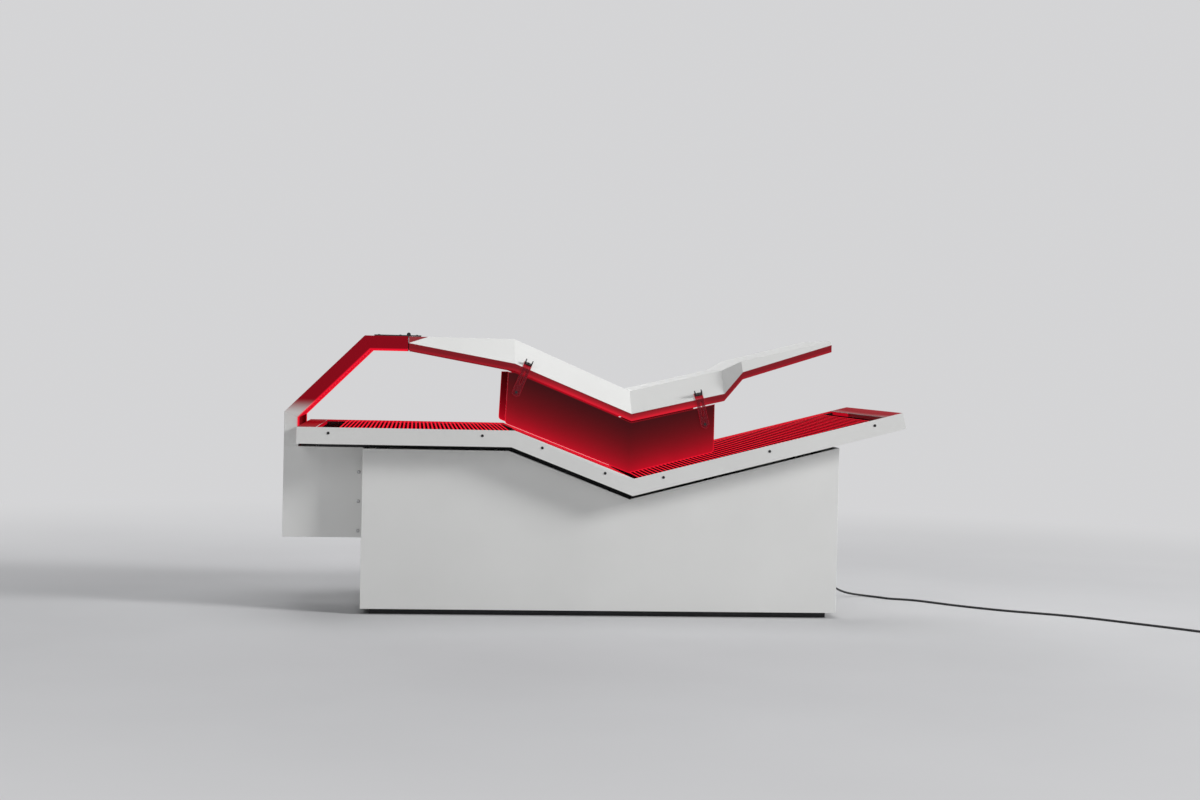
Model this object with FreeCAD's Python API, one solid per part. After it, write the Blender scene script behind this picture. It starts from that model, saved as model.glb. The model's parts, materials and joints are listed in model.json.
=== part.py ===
import FreeCAD, Part
import math
import os

# Red light therapy bed: a cabinet with a bent LED deck, an arch at its foot end and a hinged LED canopy.
# Sizes are in millimetres. +X runs from the foot end to the head end, -Y is the front, +Z is up.
# The origin is on the floor, under the middle of the bed.

V = FreeCAD.Vector

# Deck
deck_width = 880.0
deck_height = 656.0  # top of the level leg stretch
leg_length = 749.0
hip_length = 450.0
hip_angle = 20.9
back_length = 983.0
back_angle = 14.6
skirt_height = 58.0
tray_wall = 2.5
deck_end_plate = 65.0
deck_plate_wall = 3.0
deck_cover = 6.0
deck_cover_recess = 1.0
led_depth = 16.0  # from the deck's top to its LED boards
board_thickness = 2.0
heat_sink_thickness = 6.0
side_rail_width = 26.0
side_rail_lip = 14.0
fit = 0.3  # gap round a piece that is laid in place

# Screws along the skirts
screw_from_end = 108.0
screw_depth = 20.0
screw_head_radius = 5.0
screw_head_height = 2.4
screw_radius = 2.5
screw_length = 9.0
screw_clearance = 0.1

# Cabinet
cabinet_start = 278.0  # from the outer face of the arch
cabinet_length = 1692.0
cabinet_depth = 700.0
cabinet_lift = 20.0
panel_wall = 2.5
reveal = 17.0  # dark slot between the deck and what it stands on
base_wall = 3.0
plinth_inset = 32.0
plinth_width = 40.0
support_rail_width = 30.0
support_rail_spread = 480.0
support_rail_end = 60.0
post_width = 30.0
post_inset = 60.0

# Foot tower and arch
arch_width = 530.0
arch_thickness = 50.0
arch_shoulder_rise = 47.0  # from the deck's top to the foot of the arch's slope
arch_rise = 321.0  # from the deck's top to the arch's top
arch_slope_run = 276.0
arch_top_run = 152.5
arch_wall = 2.5
arch_tube = 25.0
arch_tube_spread = 360.0
arch_board_depth = 36.0
arch_cover = 4.0
deck_end_gap = 4.0
tower_bottom = 262.0
tower_wall = 2.5
tower_bolt_radius = 6.0
tower_bolt_height = 5.0
tower_bolt_edge = 14.0
tower_bolt_low = 24.0
tower_bolt_pitch = 104.0
tower_bolt_count = 3

# Canopy: runs along the bed, falls and rises of its top, and how far its wings drop at each fold
seam_gap = 3.0
canopy_width = 530.0
canopy_leg_run = 377.7
canopy_hip_run = 420.6
canopy_torso_run = 334.6
canopy_step_run = 65.0
canopy_head_run = 322.7
canopy_hip_fall = 179.0
canopy_torso_rise = 81.0
canopy_step_rise = 35.0
canopy_head_rise = 82.0
wing_drop_seam = 24.0
wing_drop_knee = 89.0
wing_drop_seat = 81.0
wing_drop_step_low = 83.0
wing_drop_step_high = 39.0
wing_drop_end = 16.0
rim_height = 26.0
canopy_depth = 50.0
canopy_sheet = 2.0
canopy_cover = 4.0
canopy_cover_fit = 0.5
canopy_cover_rise = 3.0
canopy_plate = 3.0
skin_seam = 0.8
spar_width = 20.0
spar_height = 16.0
spar_spread = 240.0
canopy_panel = 12.0
wing_panel = 10.0
panel_margin = 6.0

# Hinge on top of the arch
hinge_length = 400.0
hinge_knuckles = 5
knuckle_radius = 7.0
knuckle_gap = 0.5
hinge_lift = 0.5
leaf_thickness = 5.0
leaf_clearance = 1.0
fixed_leaf_reach = 122.0
moving_leaf_reach = 45.0
pin_radius = 3.5
pin_clearance = 0.05
stop_pad_gap = 0.3
stop_pad_width = 60.0
stop_pad_height = 24.0
stop_pad_spread = 400.0
stop_pad_edge = 4.0

# Side shields and their hanger straps
shield_thickness = 5.0
shield_rim_gap = 4.0
shield_deck_gap = 10.0
shield_before_knee = 25.0
shield_lean = 8.0
shield_before_step = 35.0
shield_corner = 14.0
strap_thickness = 3.0
strap_width = 30.0
strap_drop = 92.0
strap_fold = 30.0
strap_slot_length = 45.0
strap_slot_width = 4.0
strap_slot_top = 14.0
strap_knee_offset = 40.0
strap_step_offset = 90.0
strap_screw_radius = 2.5
strap_screw_head = 5.0
strap_screw_head_height = 2.5
strap_nut_radius = 4.5
strap_nut_height = 4.0
stud_up = 18.0  # from the rim's top edge to the stud, along the wing
stud_radius = 2.5
stud_tip = 3.0
nut_hub_radius = 6.0
nut_hub_height = 7.0
nut_span = 28.0
nut_wing = 4.0
nut_depth = 10.0
nut_rise = 21.0
nut_lift = 0.3

# Electrics in the cabinet
supply_length = 240.0
supply_width = 90.0
supply_height = 50.0
supply_count = 4
supply_pitch = 300.0
supply_start = 150.0
controller_length = 180.0
controller_width = 130.0
controller_height = 60.0
fan_size = 120.0
fan_thickness = 25.0
fan_bore = 57.0
fan_hub = 19.0
fan_motor = 6.0
fan_strut = 5.0
fan_spindle = 2.5
fan_blades = 7
fan_blade_gap = 3.0
fan_blade_width = 15.0
fan_blade_wall = 1.6
fan_blade_tilt = 32.0
fan_height = 180.0
fan_from_end = 420.0
vent_slots = 9
vent_slot_height = 6.0
vent_slot_pitch = 11.0
vent_slot_width = 100.0

# Mains inlet on the head panel
inlet_from_rear = 40.0
inlet_height = 65.0
inlet_width = 60.0
inlet_plate_wall = 3.0
inlet_tall = 110.0
rocker_length = 26.0
rocker_width = 14.0
rocker_depth = 9.0
rocker_proud = 3.0
rocker_gap = 1.2
rocker_side_gap = 0.4
rocker_tilt = 8.0
rocker_pin = 1.5
rocker_pin_length = 2.5
rocker_pin_clearance = 0.05
rocker_rise = 52.0
gland_flange = 11.0
gland_flange_height = 5.0
gland_root = 8.5
gland_tip = 5.5
gland_length = 32.0

# Mains lead
cord_radius = 4.0
cord_lie = 4.2  # height of its middle on the floor
bend_share = 0.45  # of the shorter run, taken up by each bend
coil_radius = 52.0
coil_pitch = 8.8
coil_layer = 8.8
coil_turns = 4.5
coil_turnback = 0.8
coil_tail = 34.0
gap_samples = 600  # points on which the coil's gap to itself is measured
plug_length = 46.0
plug_width = 26.0
plug_height = 25.0
plug_neck = 16.0
plug_neck_end = 6.5
plug_edge = 4.0
plug_blade = 18.0
plug_blade_width = 6.5
plug_blade_wall = 1.6
plug_blade_spread = 12.7

# Places that follow from the sizes
hip = math.radians(hip_angle)
back = math.radians(back_angle)
deck_from_arch = arch_thickness + deck_end_gap
deck_run = leg_length + hip_length * math.cos(hip) + back_length * math.cos(back)
total_length = deck_from_arch + deck_run + skirt_height * math.sin(back)
foot_x = -total_length / 2
deck_foot = foot_x + deck_from_arch
knee = (deck_foot + leg_length, deck_height)
seat = (knee[0] + hip_length * math.cos(hip), knee[1] - hip_length * math.sin(hip))


def up_the_back(distance):
    """The point of the deck's top line that far up the back stretch."""
    return seat[0] + distance * math.cos(back), seat[1] + distance * math.sin(back)


deck_line = [
    (deck_foot, deck_height),
    (deck_foot + deck_end_plate, deck_height),
    knee,
    seat,
    up_the_back(back_length - deck_end_plate),
    up_the_back(back_length),
]


def stretches():
    """The deck's stretches, each from one point of its line to another."""
    return {"leg": (0, 2), "hip": (2, 3), "back": (3, 5)}


def covered():
    """The same without the plain plates at the deck's ends."""
    return {"leg": (1, 2), "hip": (2, 3), "back": (3, 4)}


arch_shoulder = deck_height + arch_shoulder_rise
arch_height = deck_height + arch_rise
tower_top = deck_height - skirt_height - reveal
arch_end = foot_x + arch_slope_run + arch_top_run
arch_line = [
    (foot_x, tower_top),
    (foot_x, arch_shoulder),
    (foot_x + arch_slope_run, arch_height),
    (arch_end - arch_wall, arch_height),
    (arch_end, arch_height),
]
cabinet_foot = foot_x + cabinet_start
cabinet_head = cabinet_foot + cabinet_length
floor_top = cabinet_lift + base_wall
half_deck = deck_width / 2
half_arch = arch_width / 2
half_rim = canopy_width / 2
half_cabinet = cabinet_depth / 2
hinge_x = arch_end + seam_gap / 2
hinge_z = arch_height + knuckle_radius + hinge_lift

folds = [
    (0.0, 0.0, wing_drop_seam),
    (canopy_leg_run, 0.0, wing_drop_knee),
    (canopy_hip_run, -canopy_hip_fall, wing_drop_seat),
    (canopy_torso_run, canopy_torso_rise, wing_drop_step_low),
    (canopy_step_run, canopy_step_rise, wing_drop_step_high),
    (canopy_head_run, canopy_head_rise, wing_drop_end),
]
canopy = []
fold_x, fold_z = arch_end + seam_gap, arch_height
for run, rise, drop in folds:
    fold_x += run
    fold_z += rise
    rim_bottom = fold_z - drop - rim_height
    ceiling = max(fold_z - canopy_depth, rim_bottom + canopy_cover_rise)
    canopy.append((fold_x, fold_z, fold_z - drop, rim_bottom, ceiling))
seam_x, knee_x, seat_x, step_low_x, step_high_x, end_x = [fold[0] for fold in canopy]


def write(name, *shapes):
    """One STEP file for a node, from its solid or its group of solids."""
    shape = shapes[0] if len(shapes) == 1 else Part.makeCompound(list(shapes))
    for solid in shape.Solids:
        if not solid.isValid() or solid.Volume <= 0:
            raise ValueError(name + " has a bad solid")
    shape.exportStep(os.path.join("parts", name + ".step"))


def block(x_low, x_high, y_low, y_high, z_low, z_high):
    return Part.makeBox(x_high - x_low, y_high - y_low, z_high - z_low, V(x_low, y_low, z_low))


def mirrored(shape):
    """The same shape on the other side of the bed."""
    return shape.mirror(V(0, 0, 0), V(0, 1, 0))


def both_sides(shape):
    return [shape, mirrored(shape)]


def joined(shapes):
    return shapes[0].multiFuse(shapes[1:]).removeSplitter()


def side_plate(outline, y_low, y_high):
    """A solid with that outline in the XZ plane, from y_low to y_high."""
    points = [V(x, y_low, z) for x, z in outline]
    return Part.Face(Part.makePolygon(points + points[:1])).extrude(V(0, y_high - y_low, 0))


def offset_line(line, depth):
    """The line moved to its right, square to itself, with mitred corners."""
    normals = []
    for (xa, za), (xb, zb) in zip(line, line[1:]):
        length = math.hypot(xb - xa, zb - za)
        normals.append(((zb - za) / length, (xa - xb) / length))
    moved = []
    for i, (x, z) in enumerate(line):
        before = normals[max(i - 1, 0)]
        after = normals[min(i, len(normals) - 1)]
        share = depth / (1 + before[0] * after[0] + before[1] * after[1])
        moved.append((x + share * (before[0] + after[0]), z + share * (before[1] + after[1])))
    return moved


def layer(line, span, upper, lower, y_low, y_high):
    """The slab between two depths under a line, over a span of its points."""
    first, last = span
    top = offset_line(line, upper)[first:last + 1]
    bottom = offset_line(line, lower)[first:last + 1]
    return side_plate(top + bottom[::-1], y_low, y_high)


def height_under_deck(x, depth):
    """The height of the line that lies that deep under the deck's top."""
    line = offset_line(deck_line, depth)
    for (xa, za), (xb, zb) in zip(line, line[1:]):
        if xa <= x <= xb:
            return za + (zb - za) * (x - xa) / (xb - xa)
    return line[0][1] if x < line[0][0] else line[-1][1]


def flat_faced(sections):
    """A solid with flat faces through outlines that have as many points each."""
    faces = [Part.Face(Part.makePolygon(s + s[:1])) for s in (sections[0], sections[-1])]
    for near, far in zip(sections, sections[1:]):
        for i in range(len(near)):
            j = (i + 1) % len(near)
            faces.append(Part.Face(Part.makePolygon([near[i], near[j], far[j], far[i], near[i]])))
    solid = Part.Solid(Part.Shell(faces))
    if solid.Volume < 0:
        solid.reverse()
    return solid


def skirt_screw_places():
    """Where the screws sit along the deck's skirt, as points of its XZ outline."""
    line = offset_line(deck_line, screw_depth)
    places = []
    for name, (first, last) in stretches().items():
        (xa, za), (xb, zb) = line[first], line[last]
        length = math.hypot(xb - xa, zb - za)
        stops = [screw_from_end, length - screw_from_end]
        if name == "back":
            stops.insert(1, length / 2)
        for stop in stops:
            places.append((xa + (xb - xa) * stop / length, za + (zb - za) * stop / length))
    return places


def skirt_screws(clearance):
    """The screws on both skirts, or with a clearance the holes that they need."""
    screws = []
    for x, z in skirt_screw_places():
        head = Part.makeCylinder(screw_head_radius, screw_head_height, V(x, -half_deck, z), V(0, -1, 0))
        shank = Part.makeCylinder(screw_radius + clearance, screw_length, V(x, -half_deck, z), V(0, 1, 0))
        screws += both_sides(shank if clearance else head.fuse(shank).removeSplitter())
    return screws


def make_deck():
    """Trays, rails, boards, heat sinks, covers, end plates and screws of the deck."""
    holes = Part.makeCompound(skirt_screws(screw_clearance))
    inside = half_deck - tray_wall
    for name, span in stretches().items():
        floor = layer(deck_line, span, skirt_height - tray_wall, skirt_height, -inside, inside)
        skirt = layer(deck_line, span, 0, skirt_height, -half_deck, -inside)
        tray = joined([floor] + both_sides(skirt))
        write("deck_tray_" + name, tray.cut(holes))

    cover_bottom = deck_cover_recess + deck_cover
    sink_top = led_depth + board_thickness
    sink_bottom = sink_top + heat_sink_thickness
    rail_inner = inside - side_rail_lip
    ledge_inner = inside - side_rail_width
    rails, sinks, boards = [], [], []
    for name, span in covered().items():
        lip = layer(deck_line, span, cover_bottom, sink_bottom, -inside, -rail_inner)
        ledge = layer(deck_line, span, sink_bottom, skirt_height - tray_wall, -inside, -ledge_inner)
        rails += both_sides(lip.fuse(ledge).removeSplitter().cut(holes))
        width = rail_inner - fit
        sinks.append(layer(deck_line, span, sink_top, sink_bottom, -width, width))
        boards.append(layer(deck_line, span, led_depth, sink_top, -width, width))
        cover_width = inside - fit
        cover = layer(deck_line, span, deck_cover_recess, cover_bottom, -cover_width, cover_width)
        write("deck_cover_" + name, cover)
    write("deck_side_rails", *rails)
    write("deck_heat_sinks", *sinks)
    write("deck_led_boards", *boards)

    plate_bottom = deck_plate_wall
    for name, span, tip in (("foot", (0, 1), 0), ("head", (4, 5), 5)):
        plate = layer(deck_line, span, 0, plate_bottom, -inside, inside)
        near, far = (deck_line[tip], deck_line[1]) if tip == 0 else (deck_line[tip], deck_line[4])
        share = deck_plate_wall / deck_end_plate
        back_edge = (near[0] + (far[0] - near[0]) * share, near[1] + (far[1] - near[1]) * share)
        wall_line = [near, back_edge] if tip == 0 else [back_edge, near]
        wall = layer(wall_line, (0, 1), plate_bottom, skirt_height - tray_wall, -inside, inside)
        write("deck_" + name + "_plate", joined([plate, wall]).cut(holes))
    write("deck_side_screws", *skirt_screws(0))


def cabinet_side(y_low, y_high):
    """A long cabinet panel whose top edge follows the deck."""
    depth = skirt_height + reveal
    corners = [p for p in offset_line(deck_line, depth) if cabinet_foot < p[0] < cabinet_head]
    top = [(cabinet_foot, height_under_deck(cabinet_foot, depth))] + corners
    top.append((cabinet_head, height_under_deck(cabinet_head, depth)))
    outline = top + [(cabinet_head, cabinet_lift), (cabinet_foot, cabinet_lift)]
    return side_plate(outline, y_low, y_high)


def fan_places():
    return [cabinet_foot + fan_from_end, cabinet_head - fan_from_end]


def vents(x):
    """The slots in the rear panel behind one fan."""
    low = fan_height - vent_slot_pitch * (vent_slots - 1) / 2
    slots = []
    for i in range(vent_slots):
        z = low + i * vent_slot_pitch
        slots.append(block(
            x - vent_slot_width / 2, x + vent_slot_width / 2, half_cabinet - 2 * panel_wall,
            half_cabinet + panel_wall, z - vent_slot_height / 2, z + vent_slot_height / 2,
        ))
    return slots


def make_cabinet():
    """Panels, base plate and plinth."""
    inner = half_cabinet - panel_wall
    write("cabinet_front_panel", cabinet_side(-half_cabinet, -inner))
    rear = cabinet_side(inner, half_cabinet)
    for x in fan_places():
        rear = rear.cut(Part.makeCompound(vents(x)))
    write("cabinet_rear_panel", rear)
    depth = skirt_height + reveal
    foot_top = height_under_deck(cabinet_foot, depth)
    head_top = height_under_deck(cabinet_head - panel_wall, depth)
    foot = block(cabinet_foot, cabinet_foot + panel_wall, -inner, inner, cabinet_lift, foot_top)
    head = block(cabinet_head - panel_wall, cabinet_head, -inner, inner, cabinet_lift, head_top)
    write("cabinet_foot_panel", foot)
    write("cabinet_head_panel", head.cut(switch_opening()))
    write("base_plate", block(
        cabinet_foot + panel_wall, cabinet_head - panel_wall, -inner, inner, cabinet_lift, floor_top,
    ))
    low, high = cabinet_foot + plinth_inset, cabinet_head - plinth_inset
    outer = half_cabinet - plinth_inset
    long_rail = block(low, high, -outer, plinth_width - outer, 0, cabinet_lift)
    ends = []
    for x in (low, high - plinth_width):
        ends.append(block(x, x + plinth_width, plinth_width - outer, outer - plinth_width, 0, cabinet_lift))
    write("plinth_rails", *both_sides(long_rail), *ends)


def make_supports():
    """Posts in the cabinet, and the black rails that they hold under the deck."""
    upper, lower = skirt_height, skirt_height + reveal
    middle = support_rail_spread / 2
    y_low, y_high = -middle - support_rail_width / 2, -middle + support_rail_width / 2
    line = list(deck_line)
    line[1] = (deck_foot + support_rail_end, deck_height)
    line[4] = up_the_back(back_length - support_rail_end)
    rails = []
    for span in covered().values():
        rails += both_sides(layer(line, span, upper, lower, y_low, y_high))
    write("deck_support_rails", *rails)

    posts = []
    under = offset_line(deck_line, lower)
    stops = [cabinet_foot + post_inset, under[2][0], under[3][0]]
    stops += [(under[3][0] + cabinet_head) / 2, cabinet_head - post_inset]
    for stop in stops:
        x_low, x_high = stop - post_width / 2, stop + post_width / 2
        bends = [p for p in under if x_low < p[0] < x_high]
        top = [(x_low, height_under_deck(x_low, lower))] + bends
        top.append((x_high, height_under_deck(x_high, lower)))
        outline = top + [(x_high, floor_top), (x_low, floor_top)]
        posts += both_sides(side_plate(outline, -middle - post_width / 2, -middle + post_width / 2))
    write("frame_posts", *posts)


def make_tower():
    """The box under the deck's foot end, open towards the cabinet, and its bolts."""
    outer = block(foot_x, cabinet_foot, -half_arch, half_arch, tower_bottom, tower_top)
    inner = block(
        foot_x + tower_wall, cabinet_foot + tower_wall, tower_wall - half_arch, half_arch - tower_wall,
        tower_bottom + tower_wall, tower_top - tower_wall,
    )
    write("tower_housing", outer.cut(inner))
    bolts = []
    for i in range(tower_bolt_count):
        z = tower_bottom + tower_bolt_low + i * tower_bolt_pitch
        place = V(cabinet_foot - tower_bolt_edge, -half_arch, z)
        bolts += both_sides(Part.makeCylinder(tower_bolt_radius, tower_bolt_height, place, V(0, -1, 0)))
    write("tower_bolts", *bolts)


def arch_channel(span):
    """One stretch of the arch: its outer wall and two sides, open below."""
    inside = half_arch - arch_wall
    outer = layer(arch_line, span, 0, arch_wall, -half_arch, half_arch)
    side = layer(arch_line, span, arch_wall, arch_thickness, -half_arch, -inside)
    return [outer] + both_sides(side)


def make_arch():
    """Upright, slope and level top of the arch, with boards, covers and frame tubes."""
    inside = half_arch - arch_wall
    inner_wall = layer(arch_line, (0, 1), arch_thickness - arch_wall, arch_thickness, -inside, inside)
    end_wall = layer(arch_line, (3, 4), arch_wall, arch_thickness, -inside, inside)
    write("arch_upright", joined(arch_channel((0, 1)) + [inner_wall]))
    write("arch_slope", joined(arch_channel((1, 2))))
    write("arch_top", joined(arch_channel((2, 4)) + [end_wall]))
    boards, covers, tubes = [], [], []
    width = inside - fit
    for span in ((1, 2), (2, 3)):
        board_bottom = arch_board_depth + board_thickness
        boards.append(layer(arch_line, span, arch_board_depth, board_bottom, -width, width))
        cover_top = arch_thickness - arch_cover
        covers.append(layer(arch_line, span, cover_top, arch_thickness, -width, width))
    write("arch_led_boards", *boards)
    write("arch_covers", *covers)
    low = -arch_tube_spread / 2 - arch_tube / 2
    for span in ((0, 1), (1, 2), (2, 3)):
        tube = layer(arch_line, span, arch_wall, arch_wall + arch_tube, low, low + arch_tube)
        tubes += both_sides(tube)
    tower_post = block(
        foot_x + tower_wall, foot_x + tower_wall + arch_tube, low, low + arch_tube,
        tower_bottom + tower_wall, tower_top - tower_wall,
    )
    write("arch_frame", *tubes, *both_sides(tower_post))


def hinge_leaf(side, reach, knuckles):
    """A leaf that lies on one side of the hinge, with its own knuckles."""
    inner = knuckle_radius + leaf_clearance
    half = hinge_length / 2
    xs = sorted((hinge_x + side * inner, hinge_x + side * reach))
    shapes = [block(xs[0], xs[1], -half, half, arch_height, arch_height + leaf_thickness)]
    pitch = hinge_length / hinge_knuckles
    for i in knuckles:
        y_low = -half + i * pitch + knuckle_gap / 2
        length = pitch - knuckle_gap
        tabs = sorted((hinge_x, hinge_x + side * inner))
        tab_low, tab_high = arch_height + hinge_lift, arch_height + leaf_thickness
        shapes.append(block(tabs[0], tabs[1], y_low, y_low + length, tab_low, tab_high))
        place = V(hinge_x, y_low, hinge_z)
        shapes.append(Part.makeCylinder(knuckle_radius, length, place, V(0, 1, 0)))
    bore_place = V(hinge_x, -half, hinge_z)
    bore = Part.makeCylinder(pin_radius + pin_clearance, hinge_length, bore_place, V(0, 1, 0))
    return joined(shapes).cut(bore)


def make_hinge():
    """Two leaves, their pin, and the pads that the canopy comes to rest on."""
    write("hinge_fixed_leaf", hinge_leaf(-1, fixed_leaf_reach, range(0, hinge_knuckles, 2)))
    write("hinge_moving_leaf", hinge_leaf(1, moving_leaf_reach, range(1, hinge_knuckles, 2)))
    start = V(hinge_x, -hinge_length / 2, hinge_z)
    write("hinge_pin", Part.makeCylinder(pin_radius, hinge_length, start, V(0, 1, 0)))
    low = arch_height - arch_thickness + stop_pad_edge
    y = -stop_pad_spread / 2
    pad = block(
        arch_end, arch_end + seam_gap - stop_pad_gap, y - stop_pad_width / 2, y + stop_pad_width / 2,
        low, low + stop_pad_height,
    )
    write("stop_pads", *both_sides(pad))


def canopy_at(x):
    """Top, rim top, rim bottom and ceiling heights of the canopy at a place along the bed."""
    for near, far in zip(canopy, canopy[1:]):
        if near[0] <= x <= far[0]:
            share = (x - near[0]) / (far[0] - near[0])
            return [a + (b - a) * share for a, b in zip(near[1:], far[1:])]
    raise ValueError("outside the canopy")


def along_canopy(x_low, x_high, outline):
    """A solid along the canopy, from an outline that is worked out at each of its folds."""
    stops = [x_low] + [fold[0] for fold in canopy if x_low < fold[0] < x_high] + [x_high]
    return flat_faced([[V(x, y, z) for y, z in outline(x)] for x in stops])


def two_halves(points):
    """A closed outline from the points of its +Y half, outer ones first."""
    return points + [(-y, z) for y, z in reversed(points)]


def flat_half(x):
    """Half the width of the canopy's flat top, where its 45 degree wings begin."""
    top, rim_top, _, _ = canopy_at(x)
    return half_rim - (top - rim_top)


diagonal = math.sqrt(2)


def skin_outline(x):
    """The folded sheet: rim, wing, flat top, wing and rim."""
    top, rim_top, rim_bottom, _ = canopy_at(x)
    s = canopy_sheet
    bend = s * (diagonal - 1)
    outer = [(half_rim, rim_bottom), (half_rim, rim_top), (flat_half(x), top)]
    inner = [(flat_half(x) - bend, top - s), (half_rim - s, rim_top - bend), (half_rim - s, rim_bottom)]
    left = [(-y, z) for y, z in reversed(outer)]
    return outer + left + [(-y, z) for y, z in reversed(inner)] + inner


def cover_corners(x):
    """Edges and fold of the clear cover, lower and upper, in its +Y half."""
    _, _, rim_bottom, ceiling = canopy_at(x)
    edge = half_rim - canopy_sheet - canopy_cover_fit
    fold = edge - (ceiling - rim_bottom)
    upper_fold = fold + canopy_cover * (diagonal - 1)
    return (
        (edge, rim_bottom), (fold, ceiling), (upper_fold, ceiling + canopy_cover),
        (edge, rim_bottom + canopy_cover * diagonal),
    )


def cover_middle(x):
    _, lower, upper, _ = cover_corners(x)
    return [lower, upper, (-upper[0], upper[1]), (-lower[0], lower[1])]


def cover_wing(x):
    return list(cover_corners(x))


def panel_middle(x):
    """The LED panel under the flat top, against the spars."""
    top = canopy_at(x)[0] - canopy_sheet - spar_height
    half = flat_half(x) - panel_margin
    return [(half, top), (-half, top), (-half, top - canopy_panel), (half, top - canopy_panel)]


def panel_wing(x):
    """The LED panel on the inside of a wing."""
    rim_top = canopy_at(x)[1]
    line = half_rim + rim_top - canopy_sheet * diagonal
    low = half_rim - canopy_sheet - canopy_plate
    high = flat_half(x) + panel_margin
    step = wing_panel / diagonal
    outer = [(low, line - low), (high, line - high)]
    return outer + [(y - step, z - step) for y, z in reversed(outer)]


def end_outline(x):
    """A plate that closes the canopy's end, inside its sheet."""
    top, rim_top, rim_bottom, _ = canopy_at(x)
    bend = canopy_sheet * (diagonal - 1)
    inside = half_rim - canopy_sheet
    edge, fold = cover_corners(x)[:2]
    wing = [(inside, rim_bottom), (inside, rim_top - bend), (flat_half(x) - bend, top - canopy_sheet)]
    return two_halves([fold, edge] + wing)


def make_canopy():
    """Folded skins, spars, LED panels, clear covers and end plates."""
    skins = {
        "leg": (seam_x, knee_x),
        "hip": (knee_x, seat_x),
        "torso": (seat_x, step_low_x),
        "head": (step_low_x, end_x),
    }
    for name, (x_low, x_high) in skins.items():
        low = x_low if name == "leg" else x_low + skin_seam / 2
        high = x_high if name == "head" else x_high - skin_seam / 2
        write("canopy_skin_" + name, along_canopy(low, high, skin_outline))
    first, last = seam_x + canopy_plate, end_x - canopy_plate
    cover_stops = [first, knee_x, seat_x, step_low_x, step_high_x, last]
    covers, panels = [], []
    for x_low, x_high in zip(cover_stops, cover_stops[1:]):
        covers.append(along_canopy(x_low, x_high, cover_middle))
        covers += both_sides(along_canopy(x_low, x_high, cover_wing))
        if x_low != step_low_x:
            low, high = x_low + panel_margin, x_high - panel_margin
            panels.append(along_canopy(low, high, panel_middle))
            panels += both_sides(along_canopy(low, high, panel_wing))
    write("canopy_covers", *covers)
    write("canopy_led_panels", *panels)
    stops = [first] + [fold[0] for fold in canopy[1:-1]] + [last]
    upper = [(x, canopy_at(x)[0] - canopy_sheet) for x in stops]
    lower = [(x, z - spar_height) for x, z in upper]
    y = -spar_spread / 2
    spar = side_plate(upper + lower[::-1], y - spar_width / 2, y + spar_width / 2)
    write("canopy_spars", *both_sides(spar))
    plates = [along_canopy(seam_x, first, end_outline), along_canopy(last, end_x, end_outline)]
    write("canopy_end_plates", *plates)


def shield():
    """The clear shield on the front side, below the rim."""
    inner = -half_rim + shield_thickness
    left, right = knee_x - shield_before_knee, step_low_x - shield_before_step

    def under_rim(x):
        return x, canopy_at(x)[2] - shield_rim_gap

    slope = math.tan(hip)
    low_left = left - shield_lean
    bottom_left = (low_left, knee[1] + (knee[0] - low_left) * slope + shield_deck_gap)
    bottom_right = (right, height_under_deck(right, 0) + shield_deck_gap)
    bottom_fold = (seat[0], seat[1] + shield_deck_gap)
    top = [(left, under_rim(knee_x)[1]), under_rim(knee_x), under_rim(seat_x), under_rim(right)]
    solid = side_plate(top + [bottom_right, bottom_fold, bottom_left], -half_rim, inner)
    corners = (bottom_left, bottom_right)
    edges = []
    for edge in solid.Edges:
        ends = [vertex.Point for vertex in edge.Vertexes]
        if abs(ends[0].y - ends[1].y) > shield_thickness / 2:
            if any(math.hypot(ends[0].x - x, ends[0].z - z) < fit for x, z in corners):
                edges.append(edge)
    return solid.makeFillet(shield_corner, edges)


def strap_frames():
    """Each front strap's placement, X along the rim and Z up from it, and its rim's slope factor."""
    frames = []
    for x, near, far in (
        (knee_x + strap_knee_offset, knee_x, seat_x), (step_low_x - strap_step_offset, seat_x, step_low_x),
    ):
        slope = (canopy_at(far)[1] - canopy_at(near)[1]) / (far - near)
        size = math.hypot(1, slope)
        rim, up = V(1 / size, 0, slope / size), V(-slope / size, 0, 1 / size)
        turn = FreeCAD.Rotation(rim, up.cross(rim), up, "XYZ")
        frames.append((FreeCAD.Placement(V(x, -half_rim, canopy_at(x)[1]), turn), size))
    return frames


def stud_frame(size):
    """In a strap's frame: where the stud stands on the wing, and its direction."""
    fold = math.hypot(1, size)
    return V(0, stud_up * size / fold, stud_up / fold), V(0, -1 / fold, size / fold)


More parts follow.
